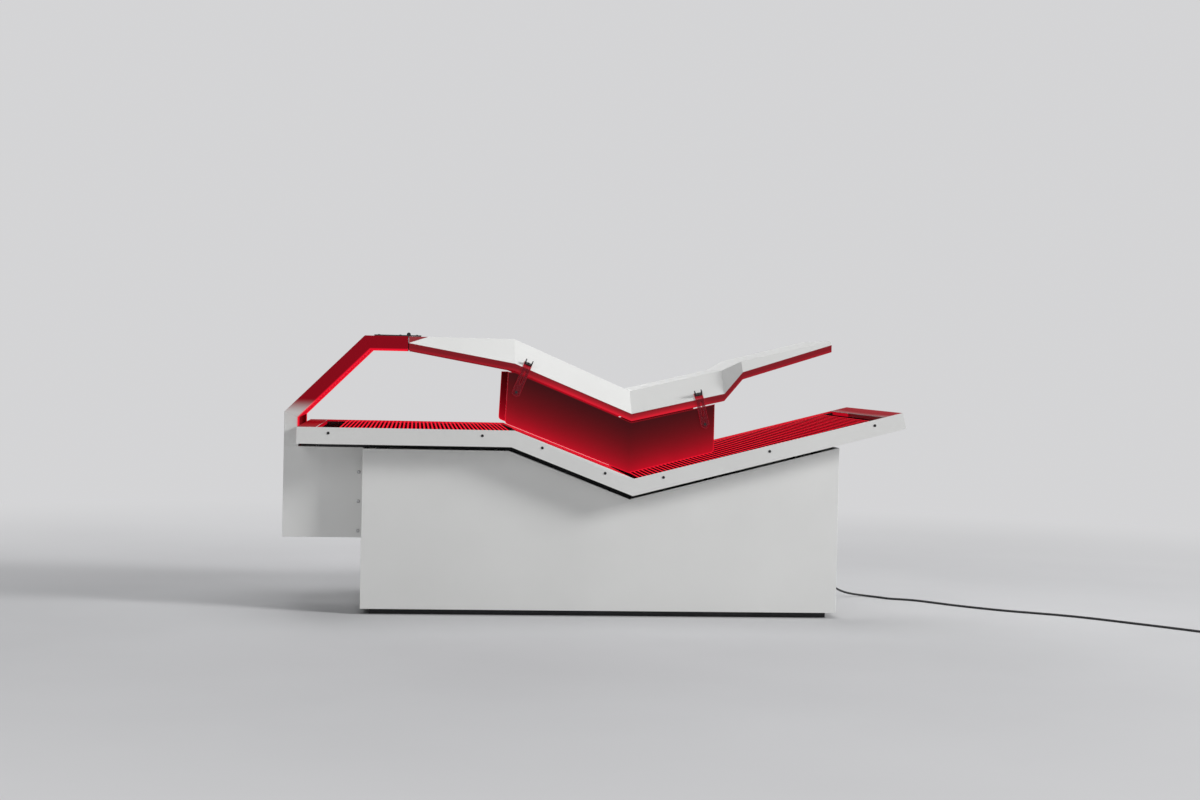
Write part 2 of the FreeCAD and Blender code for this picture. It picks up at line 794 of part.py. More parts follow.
def strap(size):
    """A bent strap in its own frame: flat on the wing above, down past the rim below, with a slot."""
    fold = math.hypot(1, size)
    t = strap_thickness
    corner = t * (fold - 1) / size
    along = (strap_fold * size / fold, strap_fold / fold)
    normal = (-t / fold, t * size / fold)
    profile = [
        (0, -strap_drop),
        (0, 0),
        along,
        (along[0] + normal[0], along[1] + normal[1]),
        (-t, corner),
        (-t, -strap_drop),
    ]
    half = strap_width / 2
    points = [V(-half, y, z) for y, z in profile]
    body = Part.Face(Part.makePolygon(points + points[:1])).extrude(V(strap_width, 0, 0))
    end = Part.makeCylinder(half, t, V(0, -t, -strap_drop), V(0, 1, 0))
    body = joined([body, end])
    slot_half = strap_slot_width / 2
    slot_low = -strap_slot_top - strap_slot_length
    slot = Part.makeBox(strap_slot_width, 3 * t, strap_slot_length, V(-slot_half, -2 * t, slot_low))
    ends = []
    for z in (slot_low, -strap_slot_top):
        ends.append(Part.makeCylinder(slot_half, 3 * t, V(0, -2 * t, z), V(0, 1, 0)))
    hole_radius = strap_screw_radius + screw_clearance
    hole = Part.makeCylinder(hole_radius, 3 * t, V(0, -2 * t, -strap_drop), V(0, 1, 0))
    place, direction = stud_frame(size)
    stud_hole = Part.makeCylinder(stud_radius + screw_clearance, 2 * t, place, direction)
    return body.cut(Part.makeCompound([slot, hole, stud_hole] + ends))


def strap_screw():
    """The screw and nut that hold the shield to a strap, in the strap's frame."""
    t = strap_thickness
    head = Part.makeCylinder(strap_screw_head, strap_screw_head_height, V(0, -t, -strap_drop), V(0, -1, 0))
    length = t + shield_thickness
    shank = Part.makeCylinder(strap_screw_radius, length, V(0, -t, -strap_drop), V(0, 1, 0))
    nut_place = V(0, shield_thickness, -strap_drop)
    nut = Part.makeCylinder(strap_nut_radius, strap_nut_height, nut_place, V(0, 1, 0))
    return joined([head, shank, nut])


def wing_nut(size):
    """A wing nut on its stud, in a strap's frame, built upright and then laid along the stud."""
    hub = Part.makeCylinder(nut_hub_radius, nut_hub_height)
    bar = Part.makeBox(nut_span, nut_depth, nut_hub_height, V(-nut_span / 2, -nut_depth / 2, 0))
    prongs = []
    for x in (-nut_span / 2, nut_span / 2 - nut_wing):
        prongs.append(Part.makeBox(nut_wing, nut_depth, nut_rise, V(x, -nut_depth / 2, 0)))
    bore = Part.makeCylinder(stud_radius + pin_clearance, nut_rise)
    nut = joined([hub, bar] + prongs).cut(bore)
    place, direction = stud_frame(size)
    rise = strap_thickness + nut_lift
    turn = FreeCAD.Rotation(V(1, 0, 0), direction.cross(V(1, 0, 0)), direction, "XYZ")
    nut.Placement = FreeCAD.Placement(place + direction * rise, turn)
    return nut


def make_shields():
    """Shields, straps, screws, studs and wing nuts on both sides."""
    front = shield()
    straps, screws = [], []
    for end, (frame, size) in zip(("foot", "head"), strap_frames()):
        hole = Part.makeCylinder(
            strap_screw_radius + screw_clearance, strap_thickness + 2 * shield_thickness,
            V(0, -strap_thickness, -strap_drop), V(0, 1, 0),
        )
        place, direction = stud_frame(size)
        stud_length = strap_thickness + nut_lift + nut_hub_height + stud_tip
        stud = Part.makeCylinder(stud_radius, stud_length, place, direction)
        front = front.cut(hole.transformed(frame.toMatrix()))
        straps += both_sides(strap(size).transformed(frame.toMatrix()))
        screws += both_sides(strap_screw().transformed(frame.toMatrix()))
        screws += both_sides(stud.transformed(frame.toMatrix()))
        nut = wing_nut(size).transformed(frame.toMatrix())
        write("wing_nut_front_" + end, nut)
        write("wing_nut_rear_" + end, mirrored(nut))
        print("stud", frame.multVec(place), frame.Rotation.multVec(direction))
    write("shield_front", front)
    write("shield_rear", mirrored(front))
    write("hanger_straps", *straps)
    write("strap_fixings", *screws)


def fan_frame(x):
    """A square frame with its bore, motor base, struts and spindle."""
    half = fan_size / 2
    y_out = half_cabinet - panel_wall
    y_in = y_out - fan_thickness
    bore = Part.makeCylinder(fan_bore, fan_thickness, V(x, y_in, fan_height), V(0, 1, 0))
    square = block(x - half, x + half, y_in, y_out, fan_height - half, fan_height + half).cut(bore)
    motor = Part.makeCylinder(fan_hub, fan_motor, V(x, y_out - fan_motor, fan_height), V(0, 1, 0))
    reach = fan_bore + fan_strut
    bars = []
    for wide, tall in ((reach, fan_strut / 2), (fan_strut / 2, reach)):
        low, high = fan_height - tall, fan_height + tall
        bars.append(block(x - wide, x + wide, y_out - fan_motor, y_out, low, high))
    spindle = Part.makeCylinder(
        fan_spindle, fan_thickness - fan_motor, V(x, y_out - fan_motor, fan_height), V(0, -1, 0),
    )
    return joined([square, motor, spindle] + bars)


def fan_rotor(x):
    """Hub and tilted blades, running on the frame's spindle."""
    y_top = half_cabinet - panel_wall - fan_motor - fan_blade_gap
    depth = fan_thickness - fan_motor - 2 * fan_blade_gap
    hub = Part.makeCylinder(fan_hub, depth, V(0, 0, 0), V(0, 1, 0))
    tip = fan_bore - fan_blade_gap
    blades = []
    for i in range(fan_blades):
        corner = V(-fan_blade_wall / 2, -fan_blade_width / 2, fan_hub / 2)
        blade = Part.makeBox(fan_blade_wall, fan_blade_width, tip - fan_hub / 2, corner)
        blade.rotate(V(0, 0, 0), V(0, 0, 1), fan_blade_tilt)
        blade.translate(V(0, depth / 2, 0))
        blade.rotate(V(0, 0, 0), V(0, 1, 0), 360.0 * i / fan_blades)
        blades.append(blade)
    bore = Part.makeCylinder(fan_spindle + pin_clearance, depth, V(0, 0, 0), V(0, 1, 0))
    rotor = joined([hub] + blades).cut(bore)
    rotor.translate(V(x, y_top - depth, fan_height))
    return rotor


def make_electrics():
    """Power supplies, controller and fans."""
    supplies = []
    for i in range(supply_count):
        x = cabinet_foot + supply_start + i * supply_pitch
        supplies.append(block(
            x, x + supply_length, -supply_width / 2, supply_width / 2, floor_top, floor_top + supply_height,
        ))
    write("power_supplies", *supplies)
    x = cabinet_foot + supply_start + supply_count * supply_pitch
    write("controller", block(
        x, x + controller_length, -controller_width / 2, controller_width / 2, floor_top,
        floor_top + controller_height,
    ))
    write("fan_frames", *[fan_frame(x) for x in fan_places()])
    for name, x in zip(("fan_rotor_foot", "fan_rotor_head"), fan_places()):
        write(name, fan_rotor(x))


inlet_y = half_cabinet - inlet_from_rear
rocker_z = inlet_height + rocker_rise
rocker_pivot_x = cabinet_head + inlet_plate_wall - rocker_depth / 2


def rocker_hole():
    """The opening in the inlet plate, and in the panel behind it, that the rocker tips in."""
    half_wide = rocker_width / 2 + rocker_side_gap
    half_tall = rocker_length / 2 + rocker_gap
    return half_wide, half_tall


def switch_opening():
    """The opening in the head panel for the switch box."""
    half_wide, half_tall = rocker_hole()
    wall = inlet_plate_wall
    return block(
        cabinet_head - 2 * panel_wall, cabinet_head + panel_wall, inlet_y - half_wide - 2 * wall,
        inlet_y + half_wide + 2 * wall, rocker_z - half_tall - 2 * wall, rocker_z + half_tall + 2 * wall,
    )


def make_inlet():
    """Plate with a switch box, the rocker in it, and the gland below."""
    half_wide, half_tall = rocker_hole()
    wall = inlet_plate_wall
    low = inlet_height - inlet_width / 2
    y_low, y_high = inlet_y - inlet_width / 2, inlet_y + inlet_width / 2
    face = block(cabinet_head, cabinet_head + wall, y_low, y_high, low, low + inlet_tall)
    depth = rocker_depth + rocker_proud
    box = block(
        cabinet_head - depth, cabinet_head, inlet_y - half_wide - wall, inlet_y + half_wide + wall,
        rocker_z - half_tall - wall, rocker_z + half_tall + wall,
    )
    hollow = block(
        cabinet_head + wall - depth, cabinet_head + 2 * wall, inlet_y - half_wide, inlet_y + half_wide,
        rocker_z - half_tall, rocker_z + half_tall,
    )
    pin_reach = half_wide + rocker_pin_length
    pivot = V(rocker_pivot_x, inlet_y - pin_reach, rocker_z)
    pin_hole = Part.makeCylinder(rocker_pin + rocker_pin_clearance, 2 * pin_reach, pivot, V(0, 1, 0))
    write("inlet_plate", joined([face, box]).cut(hollow).cut(pin_hole))

    half_length = rocker_length / 2
    front = cabinet_head + wall + rocker_proud
    root = rocker_pivot_x - rocker_pin
    outline = [
        (root, rocker_z - half_length / 2),
        (cabinet_head + wall, rocker_z - half_length),
        (front, rocker_z - half_length),
        (front - rocker_pin, rocker_z),
        (front, rocker_z + half_length),
        (cabinet_head + wall, rocker_z + half_length),
        (root, rocker_z + half_length / 2),
    ]
    key = side_plate(outline, inlet_y - rocker_width / 2, inlet_y + rocker_width / 2)
    pin_place = pivot + V(0, rocker_side_gap / 2, 0)
    pin = Part.makeCylinder(rocker_pin, 2 * pin_reach - rocker_side_gap, pin_place, V(0, 1, 0))
    rocker = joined([key, pin])
    rocker.rotate(V(rocker_pivot_x, inlet_y, rocker_z), V(0, 1, 0), rocker_tilt)
    write("switch_rocker", rocker)
    print("rocker pivot", rocker_pivot_x, inlet_y, rocker_z)

    start = cabinet_head + wall
    flange_place = V(start, inlet_y, inlet_height)
    flange = Part.makeCylinder(gland_flange, gland_flange_height, flange_place, V(1, 0, 0))
    sleeve_place = V(start + gland_flange_height, inlet_y, inlet_height)
    sleeve = Part.makeCone(gland_root, gland_tip, gland_length, sleeve_place, V(1, 0, 0))
    write("cord_gland", joined([flange, sleeve]))


gland_end = cabinet_head + inlet_plate_wall + gland_flange_height + gland_length

# Where the lead runs: out of the gland, down to the floor and away past the head end.
cord_route = [
    V(gland_end, inlet_y, inlet_height),
    V(gland_end + 44, inlet_y, inlet_height),
    V(1004, 314, 44),
    V(1052, 318, 18),
    V(1102, 322, 8),
    V(1152, 306, cord_lie),
    V(1190, 264, cord_lie),
    V(1216, 222, cord_lie),
    V(1262, 206, cord_lie),
    V(1312, 176, cord_lie),
    V(1360, 116, cord_lie),
    V(1414, 44, cord_lie),
    V(1484, -30, cord_lie),
    V(1568, -110, cord_lie),
    V(1664, -172, cord_lie),
    V(1760, -236, cord_lie),
    V(1846, -318, cord_lie),
    V(1920, -408, cord_lie),
    V(1994, -494, cord_lie),
    V(2066, -582, cord_lie),
    V(2134, -672, cord_lie),
    V(2200, -760, cord_lie),
]


def rounded_path(points):
    """Straight runs joined by tangent arcs, each as large as its two runs allow."""
    edges, radii = [], []
    here = points[0]
    for before, corner, after in zip(points, points[1:], points[2:]):
        to_before, to_after = (before - corner), (after - corner)
        reach = bend_share * min(to_before.Length, to_after.Length)
        half_turn = (math.pi - to_before.getAngle(to_after)) / 2
        radius = reach / math.tan(half_turn)
        radii.append(radius)
        to_before.normalize()
        to_after.normalize()
        start, finish = corner + to_before * reach, corner + to_after * reach
        inward = to_before + to_after
        inward.normalize()
        middle = corner + inward * (radius / math.cos(half_turn) - radius)
        edges.append(Part.LineSegment(here, start).toShape())
        edges.append(Part.Arc(start, middle, finish).toShape())
        here = finish
    edges.append(Part.LineSegment(here, points[-1]).toShape())
    print("cord radii", [round(r) for r in radii])
    return Part.Wire(edges)


def tube_on(wire, start, direction):
    """A round tube of the lead's section along a wire."""
    ring = Part.Wire([Part.Circle(start, direction, cord_radius).toShape()])
    shell = Part.BRepOffsetAPI.MakePipeShell(wire)
    shell.add(ring)
    shell.build()
    shell.makeSolid()
    tube = shell.shape()
    if tube.Volume < 0:
        tube.reverse()
    print("tube", round(wire.Length), round(tube.Volume / (math.pi * cord_radius ** 2 * wire.Length), 4))
    return tube


coil_start = cord_route[-1]
coil_heading = cord_route[-1] - cord_route[-2]
coil_heading.normalize()
coil_side = V(-coil_heading.y, coil_heading.x, 0)
coil_sweep = 2 * math.pi * coil_turns
coil_back = coil_sweep / 2
coil_entry = coil_start + coil_heading * (2 * cord_radius)
coil_centre = coil_entry + coil_side * coil_radius
coil_first_angle = math.atan2(-coil_side.y, -coil_side.x)


def coil_point(angle):
    """A point of the coil: in along the floor, up a layer where it turns back, and out again on top."""
    from_back = math.hypot(angle - coil_back, coil_turnback) - math.hypot(coil_back, coil_turnback)
    radius = coil_radius + coil_pitch * from_back / (2 * math.pi)
    climb = min(max((angle - coil_back) / math.pi + 0.5, 0), 1)
    lift = coil_layer * climb * climb * (3 - 2 * climb)
    turn = coil_first_angle + angle
    x = coil_centre.x + radius * math.cos(turn)
    y = coil_centre.y + radius * math.sin(turn)
    return V(x, y, cord_lie + lift)


def coil_tangent(angle):
    """The coil's direction, square to its radius at both ends."""
    small = math.pi / gap_samples / 4
    if angle in (0, coil_sweep):
        turn = coil_first_angle + angle
        return V(-math.sin(turn), math.cos(turn), 0)
    step = coil_point(angle + small) - coil_point(angle - small)
    step.normalize()
    return step


def arc_between(start, control, finish):
    """The arc whose end tangents meet at the control point."""
    chord = (start + finish) * 0.5
    cosine = (start - chord).Length / (start - control).Length
    return Part.Arc(start, chord + (control - chord) * (cosine / (1 + cosine)), finish).toShape()


def biarc(start, heading, finish, arrival):
    """Two tangent arcs from one point and direction to another."""
    gap = finish - start
    both = heading + arrival
    spare = 1 - heading.dot(arrival)
    root = math.sqrt(gap.dot(both) ** 2 + 2 * spare * gap.dot(gap))
    reach = (root - gap.dot(both)) / (2 * spare)
    first, second = start + heading * reach, finish - arrival * reach
    middle = (first + second) * 0.5
    return [arc_between(start, first, middle), arc_between(middle, second, finish)]


def coil_path():
    """A straight end, quarter turns as biarcs, and a straight end."""
    quarters = round(4 * coil_turns)
    angles = [coil_sweep * i / quarters for i in range(quarters + 1)]
    edges = [Part.LineSegment(coil_start, coil_entry).toShape()]
    for a, b in zip(angles, angles[1:]):
        edges += biarc(coil_point(a), coil_tangent(a), coil_point(b), coil_tangent(b))
    tail = coil_point(coil_sweep)
    heading = coil_tangent(coil_sweep)
    tip = tail + heading * coil_tail
    edges.append(Part.LineSegment(tail, tip).toShape())
    return Part.Wire(edges), tip, heading


def least_gap(wire):
    """How near the coil comes to itself, between points that lie more than a half turn apart."""
    points = wire.discretize(Number=gap_samples)
    spacing = wire.Length / (gap_samples - 1)
    apart = int(math.pi * coil_radius / 2 / spacing)
    nearest = min(
        (points[i] - points[j]).Length for i in range(len(points)) for j in range(i + apart, len(points))
    )
    return nearest - 2 * cord_radius


def make_plug(place, heading):
    """A moulded plug that lies on the floor at the end of the coil."""
    neck = Part.makeCone(plug_neck_end, plug_neck / 2, plug_neck, V(0, 0, 0), V(1, 0, 0))
    body = Part.makeBox(
        plug_length - plug_neck, plug_width, plug_height, V(plug_neck, -plug_width / 2, -plug_height / 2),
    )
    body = body.makeFillet(plug_edge, body.Edges)
    blades = []
    for y in (-plug_blade_spread / 2, plug_blade_spread / 2):
        blades.append(Part.makeBox(
            plug_blade, plug_blade_wall, plug_blade_width,
            V(plug_length, y - plug_blade_wall / 2, -plug_blade_width / 2),
        ))
    plug = joined([neck, body] + blades)
    turn = FreeCAD.Rotation(V(1, 0, 0), heading)
    plug.Placement = FreeCAD.Placement(place, turn)
    return plug


def make_cord():
    """The lead's free stretch, the coil of the rest of its length, and the plug."""
    stretch = rounded_path(cord_route)
    write("cord", tube_on(stretch, cord_route[0], V(1, 0, 0)))
    path, tail, heading = coil_path()
    write("cord_coil", tube_on(path, coil_start, coil_heading))
    print("coil gap", round(least_gap(path), 2), "cord length", round(stretch.Length + path.Length))
    write("plug", make_plug(tail, heading))


os.makedirs("parts", exist_ok=True)
make_deck()
make_cabinet()
make_supports()
make_tower()
make_arch()
make_hinge()
make_canopy()
make_shields()
make_electrics()
make_inlet()
make_cord()
print("hinge axis", hinge_x, hinge_z)
print("bed", total_length, deck_width, hinge_z + knuckle_radius)
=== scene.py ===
import json
import math

import bmesh
import bpy
from mathutils import Matrix, Vector


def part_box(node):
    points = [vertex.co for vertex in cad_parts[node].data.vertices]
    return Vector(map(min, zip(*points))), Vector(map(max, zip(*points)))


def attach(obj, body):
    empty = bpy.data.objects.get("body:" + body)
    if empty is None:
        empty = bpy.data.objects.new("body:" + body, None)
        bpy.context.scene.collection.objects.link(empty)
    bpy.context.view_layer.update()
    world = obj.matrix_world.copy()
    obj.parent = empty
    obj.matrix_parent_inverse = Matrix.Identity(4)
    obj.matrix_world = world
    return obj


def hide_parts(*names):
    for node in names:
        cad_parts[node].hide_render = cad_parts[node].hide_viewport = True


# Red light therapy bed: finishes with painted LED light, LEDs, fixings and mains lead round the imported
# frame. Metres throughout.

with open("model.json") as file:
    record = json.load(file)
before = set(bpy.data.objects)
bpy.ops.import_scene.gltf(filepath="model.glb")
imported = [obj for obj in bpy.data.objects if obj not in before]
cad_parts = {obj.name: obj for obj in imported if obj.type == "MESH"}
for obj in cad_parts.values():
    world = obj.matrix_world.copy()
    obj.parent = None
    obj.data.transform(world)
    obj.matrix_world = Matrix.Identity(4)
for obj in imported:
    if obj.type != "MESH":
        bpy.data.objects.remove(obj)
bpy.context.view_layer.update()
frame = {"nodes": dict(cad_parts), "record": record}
nodes = frame["nodes"]
record = frame["record"]
body_of = {node: body for body, members in record["behaviour"]["bodies"].items() for node in members}

MM = 0.001
WELD = 0.01 * MM
UP = Vector((0, 0, 1))

# How a mesh is read: faces that lie flat together, sharp edges, and normals that look a given way
FLAT_ANGLE = math.radians(0.5)
SHARP_ANGLE = math.radians(20)
LOOKS_THERE = 0.3
LOOKS_STRAIGHT = 0.99

# Weight of height when corners are sorted from the foot end, so that of two in line the lower is first
LOW_FIRST = 0.01

# LED fields
ROW_PITCH = 14.5 * MM
LENS_PITCH = 12 * MM
LENS_RADIUS = 3.6 * MM
DECK_LENS_HEIGHT = 0.9 * MM
PANEL_LENS_HEIGHT = 3 * MM
LENS_SIDES = 8
LENS_SMOOTHING = 80
LENS_SINK = 0.1 * MM
LEAST_IN_ROW = 3
BAR_WIDTH = 3.2 * MM
BAR_HEIGHT = 1.2 * MM
DECK_SIDE_BORDER = 9 * MM
DECK_FOOT_BORDER = 68 * MM
DECK_HEAD_BORDER = 45 * MM
FOLD_BORDER = ROW_PITCH / 2
PANEL_BORDER = 9 * MM

# A lens from its foot to its crown, in shares of its radius and height
LENS_OUTLINE = ((1, 0), (0.86, 0.55), (0.45, 0.92), (0, 1))

# Eased edges
SHEET_EDGE = 1.0 * MM
CANOPY_EDGE = 0.7 * MM
END_PLATE_EDGE = 0.6 * MM
ACRYLIC_EDGE = 0.8 * MM
MOULDED_EDGE = 1.2 * MM
FINE_EDGE = 0.5 * MM

# How far the canopy's sheets reach into each fold, so that no light shows between them
FOLD_REACH = 0.39 * MM

# Colours, linear
WHITE = (0.80, 0.80, 0.785)
WHITE_SHADE = (0.75, 0.75, 0.735)
BLACK = (0.018, 0.018, 0.019)
LED_RED = (1.0, 0.006, 0.03)
LED_CROWN = (1.0, 0.16, 0.15)
LED_DARK = (0.03, 0.001, 0.0015)
# Red of the LEDs' light, painted on the coats
PAINTED_LIGHT_RED = (0.20, 0.006, 0.012)
# Red of the shields, with painted light near the deck and painted shade up towards the rim
SHIELD_RED_PAINTED_LIGHT = (0.10, 0.002, 0.004)
SHIELD_RED_PAINTED_SHADE = (0.02, 0.002, 0.003)
# Red of the shields' light, painted in the straps
STRAP_PAINTED_RED = (0.13, 0.010, 0.018)
CLEAR_RED = (0.10, 0.006, 0.008)
# Red veil of the LEDs' light, painted on the arch's cover
PAINTED_VEIL_RED = (0.10, 0.003, 0.006)
FLOOR = (0.66, 0.66, 0.67)
FLOOR_SHADE = (0.62, 0.62, 0.63)
BACKGROUND = (0.66, 0.66, 0.67)
AMBIENT = (0.95, 0.97, 1.0)

# Glow of the LED strips, and painted glow of the cover close in front of them, at its least and most
STRIP_GLOW = (0.9, 1.1)

# Painted LED light on the arch: a painted bright line along its inner edge, in shares of the arch's
# thickness, from the deck up
ARCH_LINE_START = 0.84
ARCH_LINE_FULL = 0.98
ARCH_LINE_GLOW = 0.70
ARCH_FOOT_DARK = 45 * MM
ARCH_FOOT_LIT = 25 * MM

# The painted line is bright only close to the arch's sides, and the painted red on the side faces fades in
# over the slope's low end
BY_SIDE_START = 80 * MM
BY_SIDE_FULL = 20 * MM
SIDE_FACE_START = 1.6 * SHEET_EDGE
SIDE_FACE_FULL = 1.2 * SHEET_EDGE
SIDE_FADE_BELOW = 8 * MM
SIDE_FADE_ABOVE = 48 * MM
SIDE_GLOW = 0.10

# Painted LED light on the canopy's rims, in shares of their height: where it starts and is full, from the top
# down
RIM_HEIGHT = 26 * MM
RIM_LIT = (1.03, 0.98)
RIM_LINE = (0.5, 0.1)
RIM_LOWER = (1.0, 0.15)
RIM_GLOW = 0.05
RIM_LINE_GLOW = 0.12
RIM_LOWER_GLOW = 0.36

# The painted light on the rims is brightest over the shields, and fades towards the shields' ends
SHIELD_FOOT_FADE = 250 * MM
SHIELD_HEAD_FADE = 120 * MM

# Where light is painted on the canopy's corner at the seam, with its soft edge
SEAM_CORNER_RUN = 70 * MM
SEAM_CORNER_DROP = 24 * MM
SEAM_CORNER_EDGE = (1.0, 0.96)

# Painted LED light on the deck's sheets, on their tops and inner lips
DECK_PAINTED_RED_SHARE = 0.95
DECK_GLOW = 0.16
DECK_LIP_GLOW = 0.30

# Painted LED light in the shields, which falls off with the height above the deck, and painted glow along the
# edges of clear sheets
SHIELD_FALL = 62 * MM
SHIELD_GLOW = 0.54
SHIELD_LEAST_GLOW = 0.006
SHIELD_EDGE_GLOW = 0.20
SHIELD_EDGE_FALL = 0.34
SHIELD_PAINTED_FADE_LOW = 20 * MM
SHIELD_PAINTED_FADE_HIGH = 200 * MM
SHIELD_BORDER = 4 * MM
STRAP_GLOW = 0.05
STRAP_EDGE_GLOW = 0.22
STRAP_BORDER = 2 * MM


# Frame readings


def far_point(node, direction):
    """The point of a node that lies furthest in a direction."""
    along = Vector(direction)
    return max((vert.co for vert in nodes[node].data.vertices), key=along.dot).copy()


def clean_copy(node):
    """A node's mesh with its triangles welded and its flat faces whole."""
    mesh = bmesh.new()
    mesh.from_mesh(nodes[node].data)
    bmesh.ops.remove_doubles(mesh, verts=mesh.verts, dist=WELD)
    bmesh.ops.dissolve_limit(mesh, angle_limit=FLAT_ANGLE, verts=mesh.verts, edges=mesh.edges)
    return mesh


def islands(mesh):
    """The faces of each solid in a mesh, also of solids that meet along an edge."""
    left = set(mesh.faces)
    for start in mesh.faces:
        if start not in left:
            continue
        left.remove(start)
        found = []
        todo = [start]
        while todo:
            face = todo.pop()
            found.append(face)
            for edge in face.edges:
                if len(edge.link_faces) != 2:
                    continue
                for other in edge.link_faces:
                    if other in left:
                        left.remove(other)
                        todo.append(other)
        yield found


def panels(node, facing):
    """Corners and normal of each solid's largest face that looks a given way, foot or low end first."""
    look = Vector(facing)
    mesh = clean_copy(node)
    mesh.normal_update()
    found = []
    for faces in islands(mesh):
        turned_to = [face for face in faces if face.normal.dot(look) > LOOKS_THERE]
        if not turned_to:
            continue
        largest = max(turned_to, key=lambda face: face.calc_area())
        points = [vert.co.copy() for vert in largest.verts]
        corners = sorted(points, key=lambda point: point.x + LOW_FIRST * point.z)
        foot = sorted(corners[:2], key=lambda point: point.y)
        head = sorted(corners[-2:], key=lambda point: point.y)
        found.append((*foot, *head, largest.normal.copy()))
    mesh.free()
    return sorted(found, key=lambda panel: panel[0].x)


def solids_of(node):
    """The lowest and highest corner of each solid in a node."""
    mesh = clean_copy(node)
    found = []
    for faces in islands(mesh):
        points = [vert.co for face in faces for vert in face.verts]
        low = Vector([min(point[i] for point in points) for i in range(3)])
        high = Vector([max(point[i] for point in points) for i in range(3)])
        found.append((low, high))
    mesh.free()
    return found


def spread(low, high, count):
    """Evenly spaced values from low to high."""
    return [low + (high - low) * i / (count - 1) for i in range(count)]


# Making pieces


def new_piece(name, data):
    """An object in the scene for a mesh, a curve, a lamp or a camera."""
    piece = bpy.data.objects.new(name, data)
    bpy.context.scene.collection.objects.link(piece)
    return piece


def from_bmesh(name, mesh):
    data = bpy.data.meshes.new(name)
    mesh.to_mesh(data)
    mesh.free()
    return new_piece(name, data)


def paint(piece, material):
    piece.data.materials.clear()
    piece.data.materials.append(material)


def smooth(piece, degrees):
    """Shades a piece smooth, apart from edges sharper than the angle."""
    for face in piece.data.polygons:
        face.use_smooth = True
    piece.data.set_sharp_from_angle(angle=math.radians(degrees))


def mark(piece, name, values):
    """Gives a value to each point of a piece, for its finish to read."""
    piece.data.attributes.new(name, "FLOAT", "POINT").data.foreach_set("value", values)


def stand_for(piece, node, material=None):
    """A piece takes a node's place, on its body, painted with the material if one is given."""
    if material:
        paint(piece, material)
    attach(piece, body_of[node])
    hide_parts(node)
    return piece


def sharp_edges(mesh):
    between_faces = [edge for edge in mesh.edges if len(edge.link_faces) == 2]
    return [edge for edge in between_faces if edge.calc_face_angle(0) > SHARP_ANGLE]


def ease(mesh, edges, width, segments=2):
    bmesh.ops.bevel(
        mesh, geom=edges, offset=width, segments=segments, profile=0.5, affect="EDGES", clamp_overlap=True,
    )


def eased(node, name, width, material, segments=2):
    """A node's own shape with its sharp edges eased, in the node's place."""
    mesh = clean_copy(node)
    ease(mesh, sharp_edges(mesh), width, segments)
    return stand_for(from_bmesh(name, mesh), node, material)


def turned(outline, sides):
    """A closed round mesh about Z, from its outline of radius and height, bottom first."""
    mesh = bmesh.new()
    angles = [2 * math.pi * i / sides for i in range(sides)]
    rings = []
    for radius, height in outline:
        points = [(radius * math.cos(angle), radius * math.sin(angle), height) for angle in angles]
        if radius == 0:
            points = [(0, 0, height)]
        rings.append([mesh.verts.new(point) for point in points])
    for low, high in zip(rings, rings[1:]):
        for i in range(sides):
            j = (i + 1) % sides
            corners = [low[i % len(low)], low[j % len(low)], high[j % len(high)], high[i % len(high)]]
            mesh.faces.new(list(dict.fromkeys(corners)))
    for ring in (rings[0][::-1], rings[-1]):
        if len(ring) > 2:
            mesh.faces.new(ring)
    return mesh


# Node trees


def connect(tree, node, inputs):
    """Links a node's inputs to other nodes, or sets them to plain values."""
    for key, value in inputs.items():
        if isinstance(value, bpy.types.NodeSocket):
            tree.links.new(value, node.inputs[key])
        else:
            node.inputs[key].default_value = value


def add(tree, kind, inputs=None, **settings):
    """A node with its settings, and with its inputs linked or set."""
    node = tree.nodes.new(kind)
    for key, value in settings.items():
        setattr(node, key, value)
    connect(tree, node, inputs or {})
    return node


def math_node(tree, operation, *values):
    return add(tree, "ShaderNodeMath", dict(enumerate(values)), operation=operation).outputs[0]


def set_out_tree():
    """Puts a copy of a small model at each point, turned and sized by the point's own values."""
    tree = bpy.data.node_groups.new("set_out", "GeometryNodeTree")
    for label, kind in (("Points", "Geometry"), ("Model", "Object"), ("Finish", "Material")):
        tree.interface.new_socket(label, in_out="INPUT", socket_type="NodeSocket" + kind)
    tree.interface.new_socket("Mesh", in_out="OUTPUT", socket_type="NodeSocketGeometry")
    given = add(tree, "NodeGroupInput").outputs
    model = add(tree, "GeometryNodeObjectInfo", {"Object": given["Model"]}).outputs["Geometry"]

    def own(name):
        reader = add(tree, "GeometryNodeInputNamedAttribute", {"Name": name}, data_type="FLOAT_VECTOR")
        return reader.outputs["Attribute"]

    turn = add(
        tree, "FunctionNodeAxesToRotation", {0: own("facing"), 1: own("along")},
        primary_axis="Z", secondary_axis="X",
    )
    copies = add(tree, "GeometryNodeInstanceOnPoints", {
        "Points": given["Points"], "Instance": model, "Rotation": turn.outputs[0], "Scale": own("size"),
    })
    whole = add(tree, "GeometryNodeRealizeInstances", {"Geometry": copies.outputs[0]})
    coated = add(tree, "GeometryNodeSetMaterial", {"Geometry": whole.outputs[0], "Material": given["Finish"]})
    add(tree, "NodeGroupOutput", {"Mesh": coated.outputs[0]})
    return tree


SET_OUT = set_out_tree()


